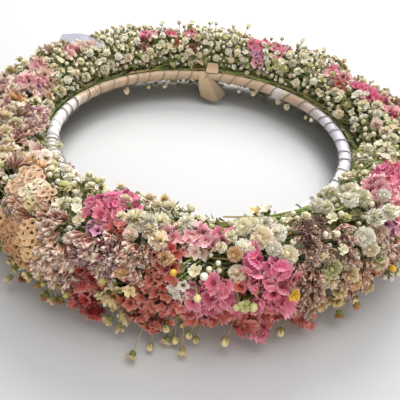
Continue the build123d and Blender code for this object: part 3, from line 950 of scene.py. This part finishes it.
def spray(rng, th0, ph0, th1, ph1, lift, half, colour):
    """Sea lavender: a drooping twig with side twigs, each with a few slim florets on it."""
    def place(k, height):
        return surf(th0 + (th1 - th0) * k, ph0 + (ph1 - ph0) * k, height)

    a, b = surf(th0, ph0, lift), surf(th1, ph1, lift)
    length = float(np.linalg.norm(b - a))
    along = unit(b - a)
    fine = 0.70 if 285 < th0 < 315 else 0.88 if 225 < th0 < 265 else 1.0
    count = int(max(length, 8) * (0.72 + 0.32 * half) / fine ** 1.6)
    k = np.sort(rng.random(count))
    n = normal(th0 + (th1 - th0) * k, ph0 + (ph1 - ph0) * k)
    turn = rng.uniform(-1.75, 1.75, count)[:, None]
    out = np.cos(turn) * n + np.sin(turn) * np.cross(n, along[None])
    twig = place(k, lift * 0.93)
    reach = half * rng.uniform(0.35, 1.0, (count, 1))
    knot = twig + out * reach + along * reach * 0.5
    piece("green", th0).tubes(curve(twig, twig + out * reach * 0.5, knot, 3), 0.22, "twig", rng, 3)
    florets = piece("lav", th0)
    for j in range(4):
        axis = unit(out * 0.8 + 1.0 * along[None] + rng.normal(0, 0.30, (count, 3)))
        at = knot + out * (0.7 * j - 1.0) + rng.normal(0, 0.3, (count, 3))
        at[:, 2] = np.maximum(at[:, 2], 2.0)
        scale = fine * rng.uniform(0.78, 1.16, count)
        own = LAVENDER_MIX.get(colour, "silver") if j in (1, 3) else colour
        florets.copies("floret", at, axis, scale, own, rng)
        if j == 0 and 225 < th0 < 262:
            pick = rng.random(count) < 0.45
            tip = at + axis * (4.1 * scale)[:, None]
            own = "orchid" if colour == "plum" else "silver"
            florets.copies("tiny", tip[pick], axis[pick], 1.0, own, rng)
    piece("green", th0).tubes(place(np.linspace(0, 1, 6), lift * 0.93)[None], 0.45, "twig", rng)
    heroes.extend((place(k, lift), half + 0.6) for k in (0.15, 0.5, 0.85))


def double_head(rng, th, ph, lift, diameter, colour, facing=1):
    """A large double flower on its own stem. facing is -1 where it turns its cup to the camera."""
    c = surf(th, ph, lift)
    n, t = normal(th, ph), tangent(th)
    if facing > 0:
        axis = unit(n + 0.45 * t + rng.normal(0, 0.25, 3))
    else:
        axis = unit(0.35 * n + 0.6 * t - 0.75 * towards_eye(c))
    r = diameter / 2
    base = c - axis * r
    base[2] = max(base[2], 1.0 + r * 0.5)
    kind = "pompom" if diameter > 7.6 else "puff"
    piece("pom", th).copies(kind, base[None], axis[None], diameter / DRAWN[kind], colour, rng)
    stem(surf(th + 2.0, ph, 0.45), base - axis * 5, base + axis * 0.3, 6, 0.38, "stem", th, rng)
    heroes.append((c - n, r + 0.3))


def stray(rng, th, r, z, diameter, colour, root_ph, kind=None):
    """A small bud on a sagging stem of its own."""
    at = ring(r, th, z)
    high = z > 20
    root = surf(th + rng.uniform(-1, 3), root_ph, 0.95 if root_ph > 185 else 0.35 if root_ph > 104 else 0.80)
    axis = unit(at - root + [0, 0, 1.0] + rng.normal(0, 0.8, 3))
    kind = kind or ("bud" if diameter < 4.1 else "half" if diameter < 5.0 else "puff")
    if kind == "puff":
        axis = unit(axis + 0.6 * towards_eye(at))
    elif z > 33:
        axis = unit(0.6 * axis + 0.5 * towards_eye(at))
    base, scale = (at - axis * diameter * 0.4)[None], diameter / DRAWN[kind] * 0.95
    piece("gyp", th).copies(kind, base, axis[None], scale, colour, rng)
    sag = (at + root) / 2 + [0, 0, 2.0 if high else 3.5]
    radius, green = (0.25, "fresh") if high else (0.17, "olive")
    stem(root, sag, at - axis * diameter * 0.3, 8, radius, green, th, rng)
    heroes.append((at, diameter * 0.5))


for place_flowers, rows in ((cluster, STATICE), (spray, SPIKES), (double_head, POMS), (stray, STRAYS)):
    for row in rows:
        place_flowers(RNG, *row)

UNSEEN_COLOURS = {
    "pink_statice": ("pink", "light", "vivid"), "pale_statice": ("blush", "light", "pale"),
    "cream_statice": ("cream", "peach", "ivory"), "crimson_statice": ("crimson", "rosy", "dusky"),
    "dusky_statice": ("dusky", "rosy", "light"), "sea_lavender": ("dusky", "light", "pale"),
    "babys_breath": ("light", "blush", "pink"),
}


def unseen_flowers(k):
    """One bunch's flowers on the parts of the ring not seen from the front, by the bunch's own kind."""
    middle = FIRST_BUNCH + BUNCH_SPAN * k + 7.5
    kind = head_node[k].split("_", 2)[2]
    rng = np.random.default_rng(100 + k)
    front_on = 224 < middle < 320
    for j in range(1 if front_on else 7):
        th = middle + rng.uniform(-6.5, 6.5)
        ph = rng.uniform(-64, -52) if front_on else rng.uniform(-45, 66)
        colour = UNSEEN_COLOURS[kind][j % 3]
        if j < (5 if "statice" in kind else 2):
            for _ in range(3):
                cluster(rng, th + rng.uniform(-2, 2), ph + rng.uniform(-12, 12), 1.04, rng.uniform(4.0, 5.6),
                        colour, 0.74, "lace" if colour in ("cream", "peach", "ivory") else "statice")
        elif not front_on and not 160 < middle < 215:
            for i in range(2):
                spray(rng, th + 2 * i, ph, th - rng.uniform(1, 3), ph + rng.uniform(-25, 25), 1.03, 2.6,
                      ("mauve", "orchid", "tan")[j % 3])
    for j in range(0 if front_on else 8):
        double_head(rng, middle + rng.uniform(-7, 7), rng.uniform(-50, 74), 1.05, rng.uniform(6.5, 9.5),
                    ("ivory", "white", "blush", "cream")[j % 4])


for k in BUNCHES:
    unseen_flowers(k)
# the loose ribbon at the back is kept clear too
heroes += [(ring(98.0, 89.2, 30.0), 3.6), (ring(98.5, 83.3, 30.0), 3.6), (ring(99.0, 96.5, 32.5), 4.0)]

# ------------------------------------------------------------------ baby's breath on fine branching twigs
hero_centres, hero_radii = (np.array(column) for column in zip(*heroes))


class Room:
    """Keeps points apart from one another."""

    def __init__(self, cell):
        self.cell, self.grid = cell, {}

    def take(self, p, gap):
        """True, and the place is taken, if no point lies nearer than the mean of the two gaps."""
        x, y, z = np.floor(p / self.cell).astype(int)
        for cell in ((x + i, y + j, z + k) for i in (-1, 0, 1) for j in (-1, 0, 1) for k in (-1, 0, 1)):
            for q, g in self.grid.get(cell, ()):
                if np.dot(p - q, p - q) < ((gap + g) / 2) ** 2:
                    return False
        self.grid.setdefault((x, y, z), []).append((p, gap))
        return True


def free(p, pad):
    """True where a point is outside every flower placed one by one."""
    out = np.ones(len(p), bool)
    for s in range(0, len(p), 2000):
        distance = np.linalg.norm(p[s:s + 2000, None] - hero_centres[None], axis=2) - hero_radii[None]
        out[s:s + 2000] = (distance > pad).all(1)
    return out


def stage(*stages):
    """A kind of baby's breath flower and a size for it.

    Each stage is the share of picks it ends at, its kind, and its smallest and largest size."""
    pick = RNG.random()
    for share, kind, low, high in stages:
        if pick < share:
            return kind, RNG.uniform(low, high)


room, hubs = Room(7.8), Room(9.0)
items = []           # position, axis, kind, size, angle and root of each loose flower


def scatter_sprays(tries=5200, buds=34):
    """Sprays of flowers and buds, each spray opening out from one root."""
    th, ph = RNG.uniform(0, 360, tries), RNG.uniform(-72, 190, tries)
    hub = surf(th, ph, lump(th, ph) * RNG.uniform(0.95, 1.03, tries))
    for i in np.nonzero(allowed(hub, 1.0) & free(hub, 0.2))[0]:
        if not hubs.take(hub[i], 7.4):
            continue
        n, t = normal(th[i], ph[i]), tangent(th[i])
        root = hub[i] - n * 9.0 - t * 4.0
        wide = RNG.uniform(0.45, 0.85)
        for _ in range(buds):
            d = unit(n + 0.45 * t + RNG.normal(0, wide, 3))
            q = root + d * RNG.uniform(7.5, 12.0)
            kind, size = stage((0.50, "flower", 5.0, 7.8), (0.78, "half", 3.4, 4.8), (1.0, "bud", 2.5, 3.6))
            gap = size * (0.94 if kind == "flower" else 1.04)
            if allowed(q, 1.2) and free(q[None], size * 0.35)[0] and room.take(q, gap):
                items.append((q, unit(d + 0.4 * n), kind, size, th[i], root))


def scatter_collar(tries=5000):
    """Flowers that lean in over the wrapped hoop."""
    th, r, z = RNG.uniform(0, 360, tries), RNG.uniform(99.6, 107.0, tries), RNG.uniform(27.6, 38.0, tries)
    p = ring(r, th, z)
    for i in np.nonzero(allowed(p, 0.6) & free(p, 1.5) & ~arc(th, 292, 22))[0]:
        kind, size = stage((0.35, "flower", 4.6, 6.6), (0.70, "half", 3.2, 4.6), (1.0, "bud", 2.5, 3.6))
        if room.take(p[i], size * 1.12):
            d = unit(ring(-0.55, th[i], 0.75) + 0.4 * tangent(th[i]) + RNG.normal(0, 0.3, 3))
            items.append((p[i], d, kind, size, th[i], p[i] - d * RNG.uniform(7, 11) + ring(3.0, th[i], 0)))


def scatter_deep(tries=9000):
    """Buds deeper in, that fill the gaps between the sprays."""
    th, ph = RNG.uniform(0, 360, tries), RNG.uniform(-70, 188, tries)
    p = surf(th, ph, lump(th, ph) * RNG.uniform(0.74, 0.93, tries))
    for i in np.nonzero(allowed(p, 1.2) & free(p, 0.6))[0]:
        size = RNG.uniform(2.6, 4.4)
        if room.take(p[i], size * 1.25):
            d = unit(normal(th[i], ph[i]) + 0.5 * tangent(th[i]) + RNG.normal(0, 0.5, 3))
            kind = "half" if RNG.random() < 0.5 else "bud"
            items.append((p[i], d, kind, size, th[i], p[i] - d * RNG.uniform(8, 14)))


def thinned_out(item):
    """True for some of the flowers over the right side's statice and along the rim in front."""
    p, th = item[0], item[4] % 360
    r = np.hypot(p[0], p[1])
    if 318 < th < 334 and r < 112:
        chance = 0.55
    elif (th > 316 or th < 22) and p[2] > 27 and r < 120:
        chance = 0.34
    else:
        chance = 0.80 if 271 < th < 313 and r < 109 else 0.0
    return RNG.random() < chance


scatter_sprays()
scatter_collar()
scatter_deep()
items = [item for item in items if not thinned_out(item)]
item_at, item_axis, item_kind, item_size, item_th, item_root = (np.array(column) for column in zip(*items))
item_bunch = ((item_th + 5) % 360 // 15).astype(int)
item_tone = RNG.random(len(items))
# flowers low down in front, coloured darker and warmer as painted shade
item_in_painted_shade = arc(item_th, 262, 42) & (item_at[:, 2] < 26) & (np.hypot(item_at[:, 0], item_at[:, 1]) > 125)
# colour, darker colour low down in front that paints the shade there, and the part of the tones each has
TONES = (("ivory", "butter", 0.0, 0.45), ("white", "butter", 0.45, 0.72), ("cream", "olive", 0.72, 0.88),
         ("lime", "olive", 0.88, 1.01))


def loose_flowers(k, rng):
    """One bunch's loose baby's breath with its stalks, and the twigs from the bound stems to the sprays."""
    mine = item_bunch == k
    flowers, green = piece("gyp", k * BUNCH_SPAN), piece("green", k * BUNCH_SPAN)
    for kind in ("flower", "half", "bud"):
        for colour, shade_colour, low, high in TONES:
            # low down in front, the darker colour paints the shade
            for in_shade in (False, True):
                w = mine & (item_kind == kind) & (item_tone >= low) & (item_tone < high) & (item_in_painted_shade == in_shade)
                if w.any():
                    base = item_at[w] - item_axis[w] * (item_size[w] * 0.42)[:, None]
                    flowers.copies(kind, base, item_axis[w], item_size[w] / DRAWN[kind],
                                   shade_colour if in_shade else colour, rng)
    a, b = item_root[mine], item_at[mine] - item_axis[mine] * (item_size[mine] * 0.38)[:, None]
    mid = (a + b) / 2 + rng.normal(0, 0.7, a.shape)
    green.tubes(curve(a, mid, b, 4), 0.25, "stem", rng, 3)
    a = np.unique(np.round(a, 3), axis=0)
    n, th = len(a), np.degrees(np.arctan2(a[:, 1], a[:, 0]))
    b = ring(rng.uniform(101, 104, n), th + rng.uniform(3, 9, n), rng.uniform(17, 27, n))
    mid = (a + b) / 2 + rng.normal(0, 2.0, a.shape)
    pick = rng.random(n) < 0.55
    green.tubes(curve(b, mid, a, 6)[pick], np.linspace(0.6, 0.34, 6), "moss", rng)


def loose_greens(k, rng, stems=56, bracts=60):
    """One bunch's long stems lying through the flowers, and dry bracts among them."""
    green = piece("green", k * BUNCH_SPAN)
    start = FIRST_BUNCH + BUNCH_SPAN * k
    th = start + rng.uniform(0, 17, stems)[:, None]
    ph = rng.uniform(-50, 176, stems)[:, None]
    run, low, high = (rng.uniform(*span, stems)[:, None] for span in ((7, 16), (0.40, 0.84), (0.62, 0.96)))
    along = np.linspace(0, 1, 7)[None, :]
    outer = surf(th - run * along, ph + rng.normal(0, 9, (stems, 1)) * along, low + (high - low) * along)
    inner = surf(th - 1.2 * run * along, ph + rng.normal(0, 12, (stems, 1)) * along,
                 0.30 + 0.32 * rng.random((stems, 1)))
    for paths, pad, colours, thick, thin in ((inner, 1.2, ("moss", "stem", "twig"), 1.1, 0.7),
                                             (outer, 0.8, ("stem", "fresh", "moss", "straw"), 0.5, 0.32)):
        clear = allowed(paths, pad).all(1)
        for j, colour in enumerate(colours):
            pick = clear & (np.arange(stems) % len(colours) == j)
            green.tubes(paths[pick], np.linspace(thick, thin, 7), colour, rng)
    th, ph = start + rng.uniform(0, 15, bracts), rng.uniform(-50, 180, bracts)
    p = surf(th, ph, rng.uniform(0.6, 0.93, bracts))
    clear = allowed(p, 2.0)
    axis = unit(normal(th, ph) + tangent(th) + rng.normal(0, 0.5, p.shape))
    green.copies("blade", p[clear], axis[clear], rng.uniform(0.7, 1.3, int(clear.sum())), "leaf", rng)


for k in BUNCHES:
    bunch_rng = np.random.default_rng(300 + k)
    loose_flowers(k, bunch_rng)
    loose_greens(k, bunch_rng)


# ------------------------------------------------------------------ stems bound along the hoop
ALONG_STEM = np.linspace(0, 1, 12)[None, :]


def bound_stems(k, count=3):
    """One bunch's stems, that run under the wire and fan out of it."""
    rng = np.random.default_rng(500 + k)
    for colour in ("stem", "fresh", "moss", "fresh", "stem", "straw"):
        start = FIRST_BUNCH + BUNCH_SPAN * k + rng.uniform(7, 17, count)
        th = start[:, None] - rng.uniform(15, 26, count)[:, None] * ALONG_STEM
        drift = np.clip(ALONG_STEM - 0.4, 0, 1) ** 1.4
        r = rng.uniform(98.7, 101.0, count)[:, None] + drift * rng.uniform(8, 34, count)[:, None]
        rise = np.clip(ALONG_STEM - 0.5, 0, 1) ** 1.5
        z = rng.uniform(18.8, 25.6, count)[:, None] + rise * rng.uniform(-12, 22, count)[:, None]
        radius = np.linspace(0.75, 0.45, 12)[None] * rng.uniform(0.7, 1.15, (count, 1))
        piece("green", k * BUNCH_SPAN).tubes(ring(r, th, z), radius, colour, rng, 6)


def fan(rng, th0, th1, r0, r1, z0, z1, count):
    """A sheaf of stems that is in view, from one angle, radius and height to another."""
    a0, a1 = th0 + rng.normal(0, 1.5, (count, 1)), th1 + rng.normal(0, 3.0, (count, 1))
    r = r0 + (r1 + rng.normal(0, 2.5, (count, 1)) - r0) * ALONG_STEM ** 1.3
    z = z0 + (z1 + rng.normal(0, 2.5, (count, 1)) - z0) * ALONG_STEM + 1.2 * np.sin(math.pi * ALONG_STEM)
    paths = ring(r, a0 + (a1 - a0) * ALONG_STEM, z)
    for j, colour in enumerate(("fresh", "stem", "fresh", "straw")):
        piece("green", (th0 + th1) / 2).tubes(paths[j::4], np.linspace(0.62, 0.40, 12), colour, rng, 6)


for k in BUNCHES:
    bound_stems(k)
fan_rng = np.random.default_rng(77)
for sheaf in ((303, 279, 99.5, 103.5, 27.2, 31.0, 14), (311, 290, 100.0, 104.5, 27.6, 31.5, 10),
              (316, 300, 99.0, 102.5, 26.5, 31.0, 6), (315, 333, 99.0, 113.0, 26.0, 44.0, 9),
              (322, 342, 99.0, 116.0, 25.5, 44.0, 8), (330, 352, 99.0, 114.0, 25.5, 42.0, 8),
              (283, 271, 101.0, 133.0, 27.0, 38.0, 16), (281, 273, 108.0, 136.0, 30.0, 32.0, 14),
              (236, 247, 99.0, 113.0, 26.0, 42.0, 8)):
    fan(fan_rng, *sheaf)

for _, bunch_piece in sorted(pieces.items()):
    bunch_piece.build()

# every bunch's soft solid is shown by its baby's breath, its stem solid by its twigs
for k in BUNCHES:
    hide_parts(head_node[k])
    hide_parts(stem_node[k])


# ------------------------------------------------------------------ ribbon wound round the hoop
RIBBON_WIDTH, RIBBON_TURNS, RIBBON_START = 12.0, 74, 205.0
RIBBON_RADIUS, RIBBON_RISE = 3.36, 0.44      # of its inner edge about the cane, and up to its outer edge
TURNS_PER_ROW, ATLAS_ROWS = 9.25, 9.0        # how the long ribbon is laid out in its atlas
# painted shade for the wound ribbon: a warm shade round its back and a cool shade at its right
WARM_PAINTED_SHADE, COOL_PAINTED_SHADE = np.array([0.70, 0.52, 0.33]), np.array([0.86, 0.86, 1.0])


def ribbon_painted_shade(th):
    """Painted shade on the wound ribbon: a warm shade round the back, left off at two places where light
    falls on it, and a cool shade at the right.
    """
    angle = (th % 360).reshape(-1, 1)
    # painted warm shade round the back, lifted at two places where light falls
    warm_shade = np.clip(4.0 - np.abs(angle - 97.0) / 20.0, 0, 1)
    warm_shade = warm_shade * (1 - 0.8 * bell(angle, 52.0, 3.5) - 0.6 * bell(angle, 170.0, 4.0))
    cool_shade = np.clip(1.4 - np.abs((angle + 180) % 360 - 180 - 2.0) / 30.0, 0, 1)
    return 1 - warm_shade * (1 - WARM_PAINTED_SHADE) - cool_shade * (1 - COOL_PAINTED_SHADE)


def hoop_ribbon(steps=28, across=5):
    """The ribbon's helix round the hoop, each turn over the one before, pressed in by the wire's coil."""
    cells = RIBBON_TURNS * steps
    s = np.linspace(0, RIBBON_TURNS, cells + 1)[:, None]
    w = np.linspace(-0.5, 0.5, across + 1)[None, :]
    rng = np.random.default_rng(9)
    wobble = np.interp(s[:, 0], np.arange(RIBBON_TURNS + 1), rng.normal(0, 0.05, RIBBON_TURNS + 1))[:, None]
    fold = 0.10 * np.sin(2 * math.pi * s * 2.0 + 3 * np.sin(s * 1.7)) * (w + 0.5)
    round_hoop = 2 * math.pi * HOOP_RADIUS
    th = RIBBON_START + (s * (round_hoop / RIBBON_TURNS) + (w + wobble) * RIBBON_WIDTH) * (360 / round_hoop)
    phi = 2 * math.pi * s
    pressed = np.abs(th % 360 - 202.8) < 8.2
    ridge = -0.16 * np.cos(2 * math.pi * (th - COIL_START) / COIL_PITCH) * pressed
    radius = RIBBON_RADIUS + RIBBON_RISE * (w + 0.5) + fold + ridge
    p = ring(HOOP_RADIUS + radius * np.cos(phi), th, HOOP_HEIGHT + radius * np.sin(phi))
    row = (np.floor(s / TURNS_PER_ROW) + 0.05 + 0.9 * (w + 0.5)) / ATLAS_ROWS
    uv, tp = pairs((s % TURNS_PER_ROW) / TURNS_PER_ROW, row), pairs(s, w + 0.5, 0 * s)
    # the ribbon's colour attribute carries its painted shade
    ribbon = add_mesh("hoop_ribbon", p.reshape(-1, 3), quads(cells, across), uv, tp, ribbon_painted_shade(th),
                      [MAT["ribbon"]], ["ribbon_wrap"])


# ------------------------------------------------------------------ binding wire
WIRE_RADIUS = 0.38
ON_RIBBON = 4.3                              # from the hoop's middle to the wire on the inner side
STEM_RADIUS, STEM_OUT, STEM_UP = 98.1, 3.7, 3.9    # the wire's loop over the stems: its middle, out and up
PUFF = 1.3                                   # how far at most a turn stands off the stems
BRIDGE_RADIUS, BRIDGE_PART = 96.0, 0.30      # where the wire crosses from the hoop to the stems


def wire_stops():
    """The angle at which each turn of the wire starts: a tight coil, then open and slightly uneven turns."""
    coil = [COIL_START + COIL_PITCH * t for t in range(COIL_TURNS)]
    turns = np.arange(FIRST_BUNCH + 1.875, COIL_START + 360 - TURN_PITCH, TURN_PITCH)
    stops = np.concatenate([coil, turns[turns >= coil[-1] + COIL_PITCH]])
    return stops + RNG.normal(0, 0.25, len(stops)) * (np.arange(len(stops)) >= COIL_TURNS) * 5.0


def binding_wire(steps=26):
    """One wire round the hoop and the stems, standing off them a little in the open turns."""
    stops = wire_stops()
    turns = np.arange(len(stops))
    s = np.linspace(0, len(stops) - 1, (len(stops) - 1) * steps + 1)
    th = np.interp(s, turns, stops)
    phi = 2 * math.pi * s
    cx, sx = np.cos(phi), np.sin(phi)
    puff = np.interp(s, turns, RNG.uniform(0.0, 1.0, len(stops)))
    turn = np.degrees(phi) % 360
    outer = (turn < 90) | (turn > 270)
    r = np.where(outer, STEM_RADIUS + (STEM_OUT + PUFF * puff) * cx, HOOP_RADIUS + ON_RIBBON * cx)
    z = HOOP_HEIGHT + np.where(outer, STEM_UP + 0.4 * np.abs(cx), ON_RIBBON) * sx
    bridge = np.clip(1 - np.abs(cx) / BRIDGE_PART, 0, 1)
    r = r * (1 - bridge) + BRIDGE_RADIUS * bridge
    wire = Piece("binding_wire_turns", [MAT["wire"]], "wire", ["binding_wire"])
    wire.tubes(ring(r, th, z)[None], WIRE_RADIUS, "silver", RNG, 6)
    wire.build()


hoop_ribbon()
binding_wire()

# the cane core stays the CAD solid
core = frame["nodes"]["hoop_core"]
core.data.materials.clear()
core.data.materials.append(cane_material())


# ------------------------------------------------------------------ loose ribbon ends
def soft_ribbon(name, p, material, node, col=1.0):
    """A loose piece of ribbon from a grid of points, lying on the wound ribbon."""
    nu, nv = p.shape[0] - 1, p.shape[1] - 1
    u, v = np.meshgrid(np.linspace(0, 1, nu + 1), np.linspace(-0.5, 0.5, nv + 1) + 0.5, indexing="ij")
    ob = add_mesh(name, p.reshape(-1, 3), quads(nu, nv), pairs(0.02 + 0.96 * u, 0.02 + 0.96 * v),
                  pairs(u * 0.3, v, 0.0), col, [MAT[material]], [node])


def resample(points, n):
    """n + 1 points evenly along the first axis of the points given."""
    points = np.array(points)
    columns = points.reshape(len(points), -1)
    given, wanted = np.linspace(0, 1, len(points)), np.linspace(0, 1, n + 1)
    result = np.stack([np.interp(wanted, given, column) for column in columns.T], -1)
    return result.reshape(n + 1, *points.shape[1:])


def smooth(p):
    """Each point but the ends of the first axis moved towards its neighbours."""
    p[1:-1] = (p[:-2] + 2 * p[1:-1] + p[2:]) / 4


def strip(name, centre, across, widths, nu, material, node):
    """A hanging ribbon along a centre line, with the direction across it at each point."""
    nv = 6
    k = np.linspace(0, 1, nu + 1)
    c = resample(centre, nu)
    for _ in range(3):
        smooth(c)
    a = unit(resample(across, nu))
    w = np.linspace(-0.5, 0.5, nv + 1)
    n = unit(np.cross(np.gradient(c, axis=0), a))
    ripple = 0.35 * np.sin(5.2 * w[None, :] + 3.0 * k[:, None]) * k[:, None]
    wide = np.linspace(*widths, nu + 1)
    p = c[:, None] + a[:, None] * (w[None, :, None] * wide[:, None, None]) + n[:, None] * ripple[..., None]
    soft_ribbon(name, p, material, node)


def patch(name, rows, nu, nv, tip_shade, fold=0.0):
    """A soft patch through rows of (angle, radius, height), with painted shade: darker towards its tip and in
    its fold.
    """
    p = resample([[ring(r, t, z) for t, r, z in row] for row in rows], nu)
    p = resample(p.swapaxes(0, 1), nv).swapaxes(0, 1)
    for _ in range(6):
        smooth(p)
        smooth(p.swapaxes(0, 1))
    u, v = np.meshgrid(np.linspace(0, 1, nu + 1), np.linspace(0, 1, nv + 1), indexing="ij")
    # painted shade: darker towards the tip and across the fold, with a warm tint
    shade = ((1.12 - tip_shade * u * (0.4 + 0.6 * u)) * (1 - fold * (v > 0.72)))[..., None] * [1.0, 0.95, 0.92]
    soft_ribbon(name, p, "ribbon_end", "ribbon_end_back", shade.reshape(-1, 3))


# the flap inside the hoop at the back, slipping down to the right
patch("ribbon_flap_back", [
    [(94.5, 91.4, 26.4), (93.9, 91.7, 26.7), (93.1, 91.8, 26.8), (92.3, 91.7, 26.6), (91.5, 91.4, 26.3)],
    [(94.5, 89.9, 21.5), (92.7, 89.7, 21.8), (91.0, 89.5, 22.0), (89.5, 89.4, 22.4), (88.2, 89.6, 22.8)],
    [(94.3, 88.6, 14.5), (91.6, 87.9, 13.5), (88.8, 87.4, 13.2), (85.7, 87.6, 14.0), (83.2, 88.8, 17.0)],
    [(92.8, 87.4, 6.8), (89.6, 86.4, 5.0), (86.2, 85.8, 3.8), (82.6, 86.6, 3.4), (79.4, 88.4, 11.2)],
], 20, 20, tip_shade=0.62, fold=0.30)
# the small upright fold beside it
tab_rows = [[(t, r, z) for t in (90.9, 87.9, 84.9)]
            for r, z in ((92.0, 26.2), (94.4, 26.75), (96.9, 26.6), (98.0, 28.6))]
tab_rows.append([(90.2, 98.4, 32.0), (87.9, 98.4, 32.0), (85.6, 98.4, 32.0)])
patch("ribbon_tab_back", tab_rows, 14, 8, tip_shade=0.1)
# the short tail behind it
strip("ribbon_tail_back", [ring(102.5, 99.8, 31.0), ring(101.0, 96.2, 33.2), ring(100.0, 92.6, 31.8)],
      [ring(1.0, 99.8, 0.25), ring(1.0, 96.2, -0.1), ring(1.0, 92.6, 0.35)], (10.2, 10.4), 12,
      "ribbon_end", "ribbon_end_back")
# the end that comes out beyond the flowers, back left
strip("ribbon_end_back_left", [ring(112, 138.5, 45.0), ring(131, 141.0, 47.0), ring(148, 143.8, 42.5)],
      [tangent(138.0) + [0, 0, 0.5], tangent(141.0) + [0, 0, 0.9], tangent(144.0) + [0, 0, 1.2]],
      (10.0, 10.5), 16, "ribbon_lilac", "ribbon_end_outer")


# ------------------------------------------------------------------ floor
def add_floor(half=12):
    """A pale plain floor."""
    me = bpy.data.meshes.new("floor")
    corners = [(-half, -half, 0), (half, -half, 0), (half, half, 0), (-half, half, 0)]
    me.from_pydata(corners, [], [(0, 1, 2, 3)])
    floor = bpy.data.objects.new("floor", me)
    scene.collection.objects.link(floor)
    me.materials.append(Nodes("floor").finish((0.62, 0.62, 0.62, 1), 0.7))


add_floor()
